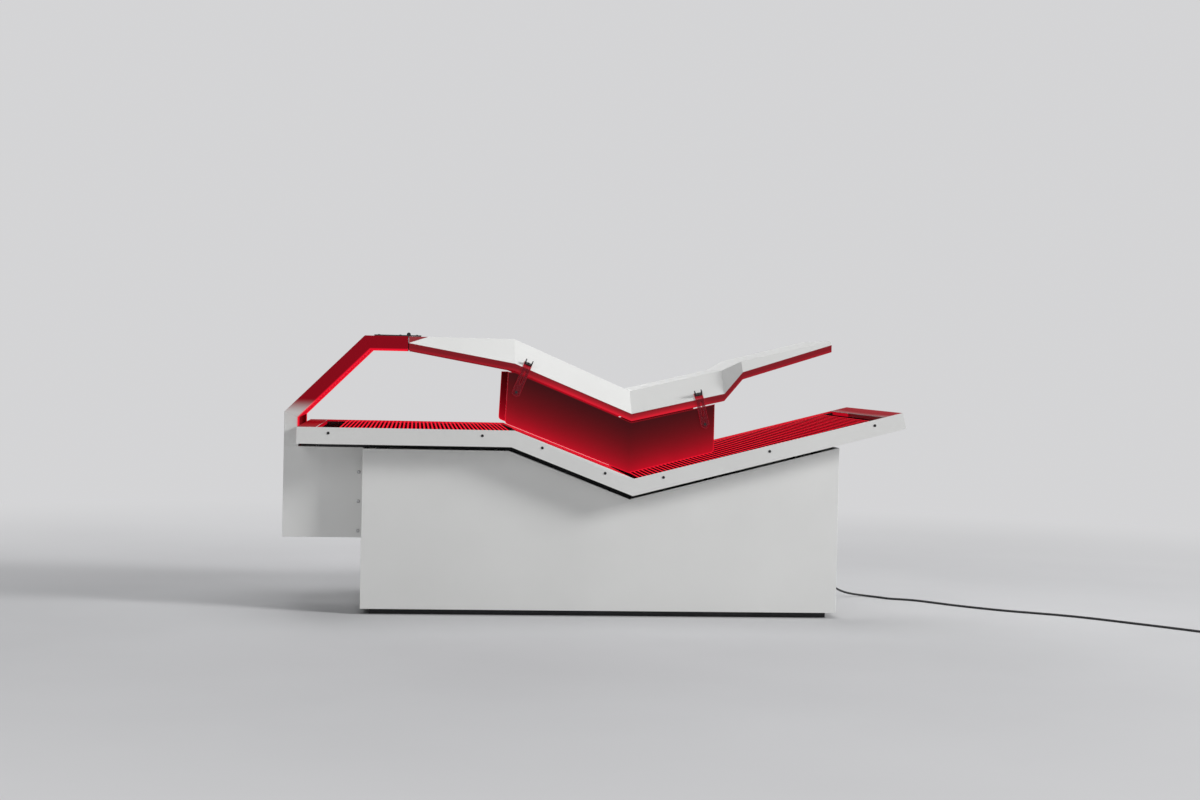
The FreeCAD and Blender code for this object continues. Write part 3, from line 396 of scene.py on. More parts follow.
def set_out(name, model, spots, material):
    """One mesh with a copy of the model at each spot: place, facing, direction and size. The model goes."""
    points = bpy.data.meshes.new(name)
    points.from_pydata([spot[0] for spot in spots], [], [])
    for number, label in enumerate(("facing", "along", "size"), start=1):
        values = points.attributes.new(label, "FLOAT_VECTOR", "POINT")
        values.data.foreach_set("vector", [part for spot in spots for part in spot[number]])
    piece = new_piece(name, points)
    modifier = piece.modifiers.new("set_out", "NODES")
    modifier.node_group = SET_OUT
    given = {"Model": model, "Finish": material}
    for item in SET_OUT.interface.items_tree:
        if item.in_out == "INPUT" and item.name in given:
            modifier[item.identifier] = given[item.name]
    evaluated = piece.evaluated_get(bpy.context.evaluated_depsgraph_get())
    whole = bpy.data.meshes.new_from_object(evaluated)
    piece.modifiers.remove(modifier)
    piece.data = whole
    bpy.data.objects.remove(model)
    return piece


# Readings for finishes


def finish(name):
    """A material, its tree, its shader and the surface's own coordinates."""
    material = bpy.data.materials.new(name)
    material.use_nodes = True
    tree = material.node_tree
    place = add(tree, "ShaderNodeTexCoord").outputs["Object"]
    return material, tree, tree.nodes["Principled BSDF"], place


def axes(tree, vector):
    """The X, Y and Z of a place or a direction."""
    return add(tree, "ShaderNodeSeparateXYZ", {0: vector}).outputs


def looking(tree):
    """The direction in which the surface looks, as X, Y and Z."""
    return axes(tree, add(tree, "ShaderNodeNewGeometry").outputs["Normal"])


def marked(tree, name):
    """A value that was given to the points of a piece."""
    return add(tree, "ShaderNodeAttribute", attribute_name=name).outputs["Fac"]


def between(tree, value, low, high, start=0.0, stop=1.0, smooth_step=False):
    """A value moved from one range to another, clamped."""
    kind = "SMOOTHSTEP" if smooth_step else "LINEAR"
    inputs = {"Value": value, "From Min": low, "From Max": high, "To Min": start, "To Max": stop}
    return add(tree, "ShaderNodeMapRange", inputs, interpolation_type=kind).outputs["Result"]


def facing_up(tree):
    """1 on faces that look up, 0 on the rest."""
    return between(tree, looking(tree)["Z"], 0.75, 0.95)


def noise(tree, place, scale, detail):
    return add(tree, "ShaderNodeTexNoise", {"Vector": place, "Scale": scale, "Detail": detail}).outputs["Fac"]


def wander(tree, place, scale, detail, low=0.0, high=1.0):
    """A value that wanders over the surface between two others."""
    return between(tree, noise(tree, place, scale, detail), 0.3, 0.7, low, high)


def blend(tree, share, first, second):
    """A colour between two others."""
    node = add(tree, "ShaderNodeMix", {"Factor": share}, data_type="RGBA")
    for key, colour in ((6, first), (7, second)):
        linked = isinstance(colour, bpy.types.NodeSocket)
        connect(tree, node, {key: colour if linked else (*colour, 1)})
    return node.outputs[2]


def grain(tree, shader, place, scale, depth, strength=0.3):
    """Fine relief from noise."""
    inputs = {"Height": noise(tree, place, scale, 2.0), "Distance": depth, "Strength": strength}
    connect(tree, shader, {"Normal": add(tree, "ShaderNodeBump", inputs).outputs[0]})


def uneven(tree, shader, place, scale, low, high):
    """Roughness that wanders over the surface."""
    connect(tree, shader, {"Roughness": wander(tree, place, scale, 5.0, low, high)})


# Finishes, with LED light painted on coats and clear sheets


def coat(name):
    """White powder coat on sheet metal: a fine orange peel and a faint cloudiness."""
    material, tree, shader, place = finish(name)
    colour = blend(tree, wander(tree, place, 2.2, 4.0), WHITE_SHADE, WHITE)
    connect(tree, shader, {"Base Color": colour})
    uneven(tree, shader, place, scale=26, low=0.36, high=0.50)
    grain(tree, shader, place, scale=750, depth=0.15 * MM, strength=0.25)
    return material, tree, shader, place, colour


def paint_led_light(tree, shader, colour, share, glow, gloss):
    """Paints LED light on a coat: painted red in its colour, a painted glow, and less of the room in its
    gloss.
    """
    connect(tree, shader, {
        "Base Color": blend(tree, share, colour, PAINTED_LIGHT_RED), "Specular IOR Level": gloss,
        "Emission Color": (*LED_RED, 1), "Emission Strength": glow,
    })


def arch_coat_painted_glow():
    """The arch's white coat, with the deck's red light painted on its side faces, brightest in a painted line
    along the inner edge.
    """
    material, tree, shader, place, colour = coat("arch_coat_painted_glow")
    point = axes(tree, place)
    low = far_point("arch_slope", (-1, 0, 0.001))
    high = far_point("arch_slope", (-0.001, 0, 1))
    run = high - low
    inward = Vector((run.z, 0, -run.x)).normalized()
    across = math_node(tree, "MULTIPLY", point["X"], inward.x)
    slope = math_node(tree, "MULTIPLY_ADD", point["Z"], inward.z, across)
    slope = math_node(tree, "SUBTRACT", slope, inward.dot(low))
    top = math_node(tree, "SUBTRACT", high.z, point["Z"])
    upright = math_node(tree, "SUBTRACT", point["X"], low.x)
    depth = math_node(tree, "MINIMUM", math_node(tree, "MINIMUM", slope, top), upright)
    top_low, top_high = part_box("arch_top")
    thickness = top_high.z - top_low.z
    line = between(tree, depth, ARCH_LINE_START * thickness, ARCH_LINE_FULL * thickness, smooth_step=True)
    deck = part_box("deck_cover_leg")[1].z
    above = between(tree, point["Z"], deck - ARCH_FOOT_DARK, deck - ARCH_FOOT_LIT)
    line = math_node(tree, "MULTIPLY", line, above)
    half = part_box("arch_slope")[1].y
    from_middle = math_node(tree, "ABSOLUTE", point["Y"])
    side = between(tree, from_middle, half - SIDE_FACE_START, half - SIDE_FACE_FULL)
    fade = between(tree, point["Z"], low.z - SIDE_FADE_BELOW, low.z + SIDE_FADE_ABOVE, smooth_step=True)
    side = math_node(tree, "MULTIPLY", fade, side)
    by_side = between(tree, from_middle, half - BY_SIDE_START, half - BY_SIDE_FULL)
    bright = math_node(tree, "MULTIPLY", line, by_side)
    glow = math_node(tree, "MULTIPLY", side, SIDE_GLOW)
    glow = math_node(tree, "MULTIPLY_ADD", bright, ARCH_LINE_GLOW, glow)
    paint_led_light(tree, shader, colour, math_node(tree, "MAXIMUM", side, line), glow, gloss=0.0)
    return material


def canopy_coat_painted_glow():
    """The canopy's white coat, with the deck's red light painted on its rims, and light painted on its corner
    at the seam with the arch.
    """
    material, tree, shader, place, colour = coat("canopy_coat_painted_glow")
    point = axes(tree, place)
    rise = marked(tree, "rim")
    rim = between(tree, rise, *RIM_LIT)
    line = between(tree, rise, *RIM_LINE, smooth_step=True)
    shield_low, shield_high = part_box("shield_front")
    from_foot = between(tree, point["X"], shield_low.x, shield_low.x + SHIELD_FOOT_FADE, smooth_step=True)
    from_head = between(tree, point["X"], shield_high.x, shield_high.x - SHIELD_HEAD_FADE, smooth_step=True)
    over_shield = math_node(tree, "MULTIPLY", from_foot, from_head)
    lower = math_node(tree, "MULTIPLY", over_shield, between(tree, rise, *RIM_LOWER))
    leg_low, leg_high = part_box("canopy_skin_leg")
    along = between(tree, point["X"], leg_low.x, leg_low.x + SEAM_CORNER_RUN)
    down = between(tree, point["Z"], leg_high.z, leg_high.z - SEAM_CORNER_DROP)
    corner = between(tree, math_node(tree, "ADD", along, down), *SEAM_CORNER_EDGE)
    corner = math_node(tree, "MULTIPLY", corner, math_node(tree, "SUBTRACT", 1.0, facing_up(tree)))
    share = math_node(tree, "MAXIMUM", rim, corner)
    glow = math_node(tree, "MULTIPLY_ADD", line, RIM_LINE_GLOW, RIM_GLOW)
    glow = math_node(tree, "MULTIPLY_ADD", lower, RIM_LOWER_GLOW, glow)
    paint_led_light(tree, shader, colour, share, math_node(tree, "MULTIPLY", glow, share), gloss=0.2)
    return material


def deck_coat_painted_glow():
    """The white coat of the deck's trays and end plates, with the LEDs' red light painted on their tops and
    inner lips.
    """
    material, tree, shader, place, colour = coat("deck_coat_painted_glow")
    side = math_node(tree, "SIGN", axes(tree, place)["Y"])
    outward = math_node(tree, "MULTIPLY", looking(tree)["Y"], side)
    lip = between(tree, outward, -0.6, -0.9)
    share = math_node(tree, "MULTIPLY", math_node(tree, "MAXIMUM", facing_up(tree), lip), DECK_PAINTED_RED_SHARE)
    glow = math_node(tree, "MULTIPLY", share, DECK_GLOW)
    glow = math_node(tree, "MULTIPLY_ADD", lip, DECK_LIP_GLOW, glow)
    paint_led_light(tree, shader, colour, share, glow, gloss=0.0)
    return material


def frosted_painted_glow():
    """Frosted acrylic of the side shields, with the deck's LEDs below painted in as a glow, and painted shade
    darkening it towards the rim.
    """
    material, tree, shader, place = finish("frosted_acrylic_painted_glow")
    point = axes(tree, place)
    heights = []
    for node in ("deck_cover_hip", "deck_cover_back"):
        foot, _, head, _, _ = panels(node, UP)[0]
        slope = (head.z - foot.z) / (head.x - foot.x)
        along = math_node(tree, "MULTIPLY_ADD", point["X"], slope, foot.z - slope * foot.x)
        heights.append(math_node(tree, "SUBTRACT", point["Z"], along))
    height = math_node(tree, "MINIMUM", *heights)
    fall = math_node(tree, "POWER", math.e, math_node(tree, "DIVIDE", height, -SHIELD_FALL))
    edge = math_node(tree, "MULTIPLY_ADD", fall, SHIELD_EDGE_FALL, SHIELD_EDGE_GLOW)
    edge = math_node(tree, "MULTIPLY", marked(tree, "border"), edge)
    glow = math_node(tree, "ADD", edge, SHIELD_LEAST_GLOW)
    glow = math_node(tree, "MULTIPLY_ADD", fall, SHIELD_GLOW, glow)
    mottle = between(tree, noise(tree, place, 9, 3.0), 0.25, 0.75, 0.92, 1.06)
    # Painted shade: the shield's red darkens with height above the deck
    painted_fade = between(tree, height, SHIELD_PAINTED_FADE_LOW, SHIELD_PAINTED_FADE_HIGH)
    connect(tree, shader, {
        "Base Color": blend(tree, painted_fade, SHIELD_RED_PAINTED_LIGHT, SHIELD_RED_PAINTED_SHADE), "Specular IOR Level": 0.12,
        "Emission Color": (*LED_RED, 1), "Emission Strength": math_node(tree, "MULTIPLY", glow, mottle),
    })
    uneven(tree, shader, place, scale=60, low=0.30, high=0.42)
    grain(tree, shader, place, scale=1400, depth=0.08 * MM, strength=0.2)
    return material


def clear_cover():
    """Clear acrylic over the deck's and the canopy's LEDs, without gloss so that the rows show."""
    material, tree, shader, place = finish("clear_cover")
    connect(tree, shader, {"Base Color": (*CLEAR_RED, 1), "Alpha": 0.05, "Specular IOR Level": 0.0})
    uneven(tree, shader, place, scale=14, low=0.06, high=0.14)
    return material


def painted_glow_cover():
    """The arch's clear cover, with the light of the LEDs close behind it painted on as a red veil and glow.
    """
    material, tree, shader, place = finish("painted_glow_cover")
    connect(tree, shader, {
        "Base Color": (*PAINTED_VEIL_RED, 1), "Alpha": 0.30, "Specular IOR Level": 0.0,
        "Emission Color": (*LED_RED, 1), "Emission Strength": wander(tree, place, 6, 3.0, *STRIP_GLOW),
    })
    uneven(tree, shader, place, scale=14, low=0.10, high=0.18)
    material.cycles.emission_sampling = "NONE"
    return material


def strap_painted_glow():
    """Clear acrylic of the hanger straps, with the shields' red light painted in and a painted glow along its
    edges.
    """
    material, tree, shader, place = finish("clear_strap_painted_glow")
    glow = math_node(tree, "MULTIPLY_ADD", marked(tree, "border"), STRAP_EDGE_GLOW, STRAP_GLOW)
    connect(tree, shader, {
        "Base Color": (*STRAP_PAINTED_RED, 1), "Alpha": 0.66, "Specular IOR Level": 0.2,
        "Emission Color": (*LED_RED, 1), "Emission Strength": glow,
    })
    uneven(tree, shader, place, scale=14, low=0.10, high=0.18)
    return material


def led_lens():
    """A lit LED lens: deep red at its foot, with a paler spot on its crown."""
    material, tree, shader, _ = finish("led_lens")
    crown = marked(tree, "crown")
    heat = between(tree, crown, 0.88, 1.0, smooth_step=True)
    connect(tree, shader, {
        "Base Color": (*LED_DARK, 1), "Specular IOR Level": 0.0,
        "Emission Color": blend(tree, heat, LED_RED, LED_CROWN),
        "Emission Strength": between(tree, crown, 0.0, 1.0, 0.7, 1.0),
    })
    material.cycles.emission_sampling = "NONE"
    return material


def led_bar():
    """A strip of LEDs that lights what lies round the board."""
    material, tree, shader, place = finish("led_bar")
    connect(tree, shader, {
        "Base Color": (*LED_DARK, 1), "Specular IOR Level": 0.0,
        "Emission Color": (*LED_RED, 1), "Emission Strength": wander(tree, place, 40, 3.0, *STRIP_GLOW),
    })
    return material


def dark(name, colour, rough, scale, depth, metallic=0.0, gloss=0.5):
    """A dark coat, moulding or rubber with fine grain."""
    material, tree, shader, place = finish(name)
    lighter = tuple(1.2 * part + 0.001 for part in colour)
    connect(tree, shader, {
        "Base Color": blend(tree, wander(tree, place, 12, 4.0), colour, lighter),
        "Metallic": metallic, "Specular IOR Level": gloss,
    })
    uneven(tree, shader, place, 30, *rough)
    grain(tree, shader, place, scale, depth)
    return material


def metal(name, colour, stretch, rough):
    """Bare metal with fine lines along one direction."""
    material, tree, shader, place = finish(name)
    lines = add(tree, "ShaderNodeMapping", {"Vector": place, "Scale": stretch}).outputs[0]
    darker = tuple(0.82 * part for part in colour)
    connect(tree, shader, {
        "Base Color": blend(tree, wander(tree, lines, 900, 4.0), darker, colour), "Metallic": 1.0,
    })
    uneven(tree, shader, lines, 500, *rough)
    grain(tree, shader, lines, scale=1200, depth=0.05 * MM, strength=0.15)
    return material


COAT = coat("white_coat")[0]
ARCH_COAT_PAINTED_GLOW = arch_coat_painted_glow()
CANOPY_COAT_PAINTED_GLOW = canopy_coat_painted_glow()
FROSTED_PAINTED_GLOW = frosted_painted_glow()
DECK_COAT_PAINTED_GLOW = deck_coat_painted_glow()
COVER = clear_cover()
PAINTED_GLOW_COVER = painted_glow_cover()
STRAP_PAINTED_GLOW = strap_painted_glow()
LENS = led_lens()
BAR = led_bar()
BOARD = dark("board_black", (0.012, 0.004, 0.005), rough=(0.5, 0.65), scale=900, depth=0.1 * MM, gloss=0.0)
BLACK_COAT = dark("black_coat", BLACK, rough=(0.46, 0.54), scale=700, depth=0.15 * MM, gloss=0.3)
FRAME_ALLOY = dark(
    "black_anodised", (0.03, 0.03, 0.032), rough=(0.35, 0.5), scale=1100, depth=0.05 * MM, metallic=0.7,
)
MOULDED = dark("black_moulding", (0.022, 0.022, 0.023), rough=(0.38, 0.52), scale=1300, depth=0.08 * MM)
RUBBER = dark("black_rubber", (0.016, 0.016, 0.017), rough=(0.55, 0.72), scale=1600, depth=0.08 * MM)
HEAT_SINK = metal("mill_aluminium", (0.62, 0.62, 0.64), stretch=(1, 12, 12), rough=(0.30, 0.45))
STEEL = metal("zinc_steel", (0.50, 0.50, 0.51), stretch=(1, 1, 8), rough=(0.25, 0.38))
SCREW_BLACK = dark(
    "black_oxide", (0.03, 0.03, 0.032), rough=(0.3, 0.42), scale=1500, depth=0.05 * MM, metallic=0.8,
)


# Sheet metal and panels

for stretch in ("leg", "hip", "back"):
    eased("deck_tray_" + stretch, "deck_tray_sheet_" + stretch, SHEET_EDGE, DECK_COAT_PAINTED_GLOW)
for end in ("foot", "head"):
    eased("deck_" + end + "_plate", "deck_plate_sheet_" + end, SHEET_EDGE, DECK_COAT_PAINTED_GLOW)
for side in ("front", "rear", "head", "foot"):
    eased("cabinet_" + side + "_panel", "cabinet_sheet_" + side, SHEET_EDGE, COAT)
eased("tower_housing", "tower_sheet", SHEET_EDGE, COAT)
for stretch in ("upright", "slope", "top"):
    eased("arch_" + stretch, "arch_sheet_" + stretch, SHEET_EDGE, ARCH_COAT_PAINTED_GLOW)

CANOPY_SECTIONS = ("leg", "hip", "torso", "head")


def rim_line():
    """Height of the canopy rim's lower edge at each of its folds, foot end first."""
    line = {}
    for section in CANOPY_SECTIONS:
        mesh = clean_copy("canopy_skin_" + section)
        half = max(vert.co.y for vert in mesh.verts)
        for vert in mesh.verts:
            if vert.co.y > half - WELD:
                x = round(vert.co.x, 4)
                line[x] = min(vert.co.z, line.get(x, vert.co.z))
        mesh.free()
    return sorted(line.items())


def height_on(line, x):
    """A height on a line of points, held level past its ends."""
    for (low_x, low_z), (high_x, high_z) in zip(line, line[1:]):
        if low_x <= x <= high_x:
            return low_z + (high_z - low_z) * (x - low_x) / (high_x - low_x)
    return line[0][1] if x < line[0][0] else line[-1][1]


def reach_at(vert, folds):
    """How far a point of a canopy sheet moves along the bed, into the fold on which it lies."""
    return sum(reach for x, reach in folds if abs(vert.co.x - x) < WELD)


def canopy_skins():
    """The canopy's folded sections, closed up at their folds and marked with heights on the rim."""
    line = rim_line()
    for section in CANOPY_SECTIONS:
        node = "canopy_skin_" + section
        low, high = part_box(node)
        folds = []
        if section != CANOPY_SECTIONS[0]:
            folds.append((low.x, -FOLD_REACH))
        if section != CANOPY_SECTIONS[-1]:
            folds.append((high.x, FOLD_REACH))
        mesh = clean_copy(node)
        free = [edge for edge in sharp_edges(mesh) if not all(reach_at(vert, folds) for vert in edge.verts)]
        ease(mesh, free, CANOPY_EDGE)
        for vert in mesh.verts:
            vert.co.x += reach_at(vert, folds)
        piece = stand_for(from_bmesh("canopy_sheet_" + section, mesh), node, CANOPY_COAT_PAINTED_GLOW)
        points = [vert.co for vert in piece.data.vertices]
        mark(piece, "rim", [(point.z - height_on(line, point.x)) / RIM_HEIGHT for point in points])


def with_painted_edge_glow(node, name, width, border_width, material):
    """An upright clear sheet, marked along the border of its faces, where a glow is painted as light leaving
    the sheet.
    """
    piece = eased(node, name, width, material)
    mesh = bmesh.new()
    mesh.from_mesh(piece.data)
    border = mesh.verts.layers.float.new("border")
    for vert in mesh.verts:
        vert[border] = 1.0
    mesh.normal_update()
    for look in (-1, 1):
        flat = [face for face in mesh.faces if face.normal.y * look > LOOKS_STRAIGHT]
        bmesh.ops.inset_region(mesh, faces=flat, thickness=border_width, use_even_offset=True)
        for vert in {vert for face in flat for vert in face.verts}:
            vert[border] = 0.0
    mesh.to_mesh(piece.data)
    mesh.free()


canopy_skins()
eased("canopy_end_plates", "canopy_end_sheets", END_PLATE_EDGE, COAT)
for side in ("front", "rear"):
    with_painted_edge_glow("shield_" + side, "shield_sheet_" + side, ACRYLIC_EDGE, SHIELD_BORDER, FROSTED_PAINTED_GLOW)
with_painted_edge_glow("hanger_straps", "strap_sheets", FINE_EDGE, STRAP_BORDER, STRAP_PAINTED_GLOW)

# Nodes that keep their own mesh
carried = {
    COVER: ["canopy_covers", "deck_cover_leg", "deck_cover_hip", "deck_cover_back"],
    PAINTED_GLOW_COVER: ["arch_covers"],
    BOARD: ["arch_led_boards", "canopy_led_panels", "deck_led_boards"],
    FRAME_ALLOY: [
        "arch_frame", "canopy_spars", "deck_side_rails", "deck_support_rails", "frame_posts", "plinth_rails",
    ],
    BLACK_COAT: ["base_plate"],
    HEAT_SINK: ["deck_heat_sinks", "power_supplies"],
    SCREW_BLACK: ["hinge_pin", "strap_fixings"],
    MOULDED: ["controller", "fan_frames", "fan_rotor_foot", "fan_rotor_head"],
    RUBBER: ["stop_pads"],
}
for material, names in carried.items():
    for name in names:
        paint(nodes[name], material)

# Hinge leaves and mains inlet
eased("hinge_fixed_leaf", "hinge_leaf_fixed", FINE_EDGE, BLACK_COAT)
eased("hinge_moving_leaf", "hinge_leaf_moving", FINE_EDGE, BLACK_COAT)
eased("inlet_plate", "inlet_plate_moulding", FINE_EDGE, MOULDED)
eased("switch_rocker", "rocker_moulding", FINE_EDGE, MOULDED)


# LED rows


def rows_on(panel, foot_border, head_border, side_border):
    """End points of each LED row that crosses a panel, with the panel's facing."""
    foot_low, foot_high, head_low, head_high, normal = panel
    length = ((head_low + head_high) / 2 - (foot_low + foot_high) / 2).length
    count = max(1, int((length - foot_border - head_border) / ROW_PITCH))
    spare = length - foot_border - head_border - (count - 1) * ROW_PITCH
    rows = []
    for i in range(count):
        share = (foot_border + spare / 2 + i * ROW_PITCH) / length
        low = foot_low.lerp(head_low, share)
        high = foot_high.lerp(head_high, share)
        span = high - low
        if span.length > 2 * side_border + LEAST_IN_ROW * LENS_PITCH:
            inset = span.normalized() * side_border
            rows.append((low + inset, high - inset, normal))
    return rows


def lens_model(height):
    """One lens, marked from its foot to its crown."""
    outline = [(across * LENS_RADIUS, rise * height) for across, rise in LENS_OUTLINE]
    model = from_bmesh("lens_model", turned(outline, LENS_SIDES))
    mark(model, "crown", [vert.co.z / height for vert in model.data.vertices])
    smooth(model, LENS_SMOOTHING)
    return model


def bar_model():
    """A strip one metre long, wide and high, to be sized to a row."""
    mesh = bmesh.new()
    bmesh.ops.create_cube(mesh, size=1)
    bmesh.ops.translate(mesh, verts=mesh.verts, vec=(0, 0, 0.5))
    return from_bmesh("bar_model", mesh)


def led_piece(name, model, spots, material, body):
    """Copies of an LED model on one body."""
    piece = set_out(name, model, spots, material)
    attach(piece, body)


def lenses(name, rows, height, body):
    """Lenses along LED rows, on one body."""
    spots = []
    for low, high, normal in rows:
        span = high - low
        count = max(1, round(span.length / LENS_PITCH))
        for i in range(count):
            place = low + span * ((i + 0.5) / count) - normal * LENS_SINK
            spots.append((place, normal, span.normalized(), (1, 1, 1)))
    led_piece(name, lens_model(height), spots, LENS, body)


def bars(name, rows, body):
    """A light strip along each LED row, on one body."""
    spots = []
    for low, high, normal in rows:
        span = high - low
        spots.append(((low + high) / 2, normal, span.normalized(), (span.length, BAR_WIDTH, BAR_HEIGHT)))
    led_piece(name, bar_model(), spots, BAR, body)


def lit_panels(node, label, look):
    """Light strips on each board of a node, with lenses on top of them."""
    rows = []
    for panel in panels(node, look):
        rows += rows_on(panel, PANEL_BORDER, PANEL_BORDER, PANEL_BORDER)
    raised = [(low + normal * BAR_HEIGHT, high + normal * BAR_HEIGHT, normal) for low, high, normal in rows]
    bars(label + "_light_bars", rows, body_of[node])
    lenses(label + "_lenses", raised, PANEL_LENS_HEIGHT, body_of[node])


deck_borders = {
    "leg": (DECK_FOOT_BORDER, FOLD_BORDER),
    "hip": (FOLD_BORDER, FOLD_BORDER),
    "back": (FOLD_BORDER, DECK_HEAD_BORDER),
}
for stretch, (foot, head) in deck_borders.items():
    cover = panels("deck_cover_" + stretch, UP)[0]
    lenses("deck_lenses_" + stretch, rows_on(cover, foot, head, DECK_SIDE_BORDER), DECK_LENS_HEIGHT, "base")
lit_panels("arch_led_boards", "arch", (0.7, 0, -0.7))
lit_panels("canopy_led_panels", "canopy", (0, 0, -1))


# Fixings

# Radius, height and socket radius of each kind of screw head
SKIRT_HEAD = (5 * MM, 2.4 * MM, 1.6 * MM)
TOWER_HEAD = (6 * MM, 5 * MM, 2.3 * MM)
SMALL_HEAD = (4 * MM, 2.2 * MM, 1.25 * MM)
HEAD_SIDES = 24
ROUND_SMOOTHING = 40

# A button head's dome and its socket, in shares of their radius and of the head's height
DOME_OUTLINE = ((1, 0), (1, 0.25), (0.9, 0.65), (0.66, 0.93))
SOCKET_OUTLINE = ((1.25, 1), (1, 0.97), (1, 0.45), (0, 0.38))

# Where the small screws stand
LEAF_SCREWS = 5
LEAF_END_INSET = 30 * MM
LEAF_EDGE_INSET = 16 * MM
LEAF_PIN_INSET = 30 * MM
INLET_INSET = 7 * MM
FAN_HOLE_SPREAD = 105 * MM
REAR_INSET = 24 * MM
REAR_TOP_SCREW = 430 * MM
REAR_COLUMNS = 5
REAR_LEVELS = 3


def socket_head(radius, height, socket):
    """A button head with a six-sided socket, standing on Z = 0."""
    outline = [(across * radius, rise * height) for across, rise in DOME_OUTLINE]
    outline += [(across * socket, rise * height) for across, rise in SOCKET_OUTLINE]
    mesh = turned(outline, HEAD_SIDES)
    for vert in mesh.verts:
        flat = vert.co.to_2d()
        if abs(flat.length - socket) < WELD:
            from_middle = (math.atan2(flat.y, flat.x) + math.pi / 6) % (math.pi / 3) - math.pi / 6
            vert.co.xy = flat / math.cos(from_middle)
    model = from_bmesh("head_model", mesh)
    smooth(model, ROUND_SMOOTHING)
    return model


def heads_on(carrier, name, places, facing, head):
    """Black screw heads at places on a flat face of the node that carries them."""
    facing = Vector(facing)
    spots = [(place, facing, facing.orthogonal(), (1, 1, 1)) for place in places]
    piece = set_out(name, socket_head(*head), spots, SCREW_BLACK)
    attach(piece, body_of[carrier])


def side_heads(node, name, wall, head, material):
    """Screw heads on the front and rear walls, in place of a node of screws."""
    spots = []
    for low, high in solids_of(node):
        middle = (low + high) / 2
        side = math.copysign(1, middle.y)
        place = Vector((middle.x, side * wall, middle.z))
        spots.append((place, Vector((0, side, 0)), Vector((1, 0, 0)), (1, 1, 1)))
    stand_for(set_out(name, socket_head(*head), spots, material), node)


def hinge_screws():
    """Two rows of screws on the fixed hinge leaf, and one on the moving leaf."""
    low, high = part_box("hinge_fixed_leaf")
    pin_low, pin_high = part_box("hinge_pin")
    top = panels("hinge_fixed_leaf", UP)[0][0].z
    across = spread(low.y + LEAF_END_INSET, high.y - LEAF_END_INSET, LEAF_SCREWS)
    fixed_rows = (low.x + LEAF_EDGE_INSET, (pin_low.x + pin_high.x) / 2 - LEAF_PIN_INSET)
    moving_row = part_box("hinge_moving_leaf")[1].x - LEAF_EDGE_INSET
    fixed = [Vector((x, y, top)) for x in fixed_rows for y in across]
    moving = [Vector((moving_row, y, top)) for y in across]
    heads_on("hinge_fixed_leaf", "hinge_screws_fixed", fixed, UP, SMALL_HEAD)
    heads_on("hinge_moving_leaf", "hinge_screws_moving", moving, UP, SMALL_HEAD)


def inlet_screws():
    """A screw in each corner of the inlet plate."""
    low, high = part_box("inlet_plate")
    across = (low.y + INLET_INSET, high.y - INLET_INSET)
    levels = (low.z + INLET_INSET, high.z - INLET_INSET)
    places = [Vector((high.x, y, z)) for y in across for z in levels]
    heads_on("inlet_plate", "inlet_screws", places, (1, 0, 0), SMALL_HEAD)


def fan_screws():
    """Four screws on the rear panel for each fan behind it."""
    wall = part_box("cabinet_rear_panel")[1].y
    places = []
    for low, high in solids_of("fan_frames"):
        middle = (low + high) / 2
        for x in (middle.x - FAN_HOLE_SPREAD / 2, middle.x + FAN_HOLE_SPREAD / 2):
            for z in (middle.z - FAN_HOLE_SPREAD / 2, middle.z + FAN_HOLE_SPREAD / 2):
                places.append(Vector((x, wall, z)))
    heads_on("cabinet_rear_panel", "fan_screws", places, (0, 1, 0), SMALL_HEAD)


def rear_panel_screws():
    """Screws along the rear panel's lower edge and up both its ends."""
    low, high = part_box("cabinet_rear_panel")
    columns = spread(low.x + REAR_INSET, high.x - REAR_INSET, REAR_COLUMNS)
    levels = spread(low.z + REAR_INSET, REAR_TOP_SCREW, REAR_LEVELS)
    places = [Vector((x, high.y, levels[0])) for x in columns]
    places += [Vector((x, high.y, z)) for x in (columns[0], columns[-1]) for z in levels[1:]]
    heads_on("cabinet_rear_panel", "rear_panel_screws", places, (0, 1, 0), SKIRT_HEAD)


half_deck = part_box("deck_tray_leg")[1].y
half_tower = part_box("tower_housing")[1].y
side_heads("deck_side_screws", "skirt_screw_heads", half_deck, SKIRT_HEAD, SCREW_BLACK)
side_heads("tower_bolts", "tower_bolt_heads", half_tower, TOWER_HEAD, STEEL)
for end in ("front_foot", "front_head", "rear_foot", "rear_head"):
    eased("wing_nut_" + end, "wing_nut_moulding_" + end, MOULDED_EDGE, MOULDED, segments=3)
hinge_screws()
inlet_screws()
fan_screws()
rear_panel_screws()


# Mains lead

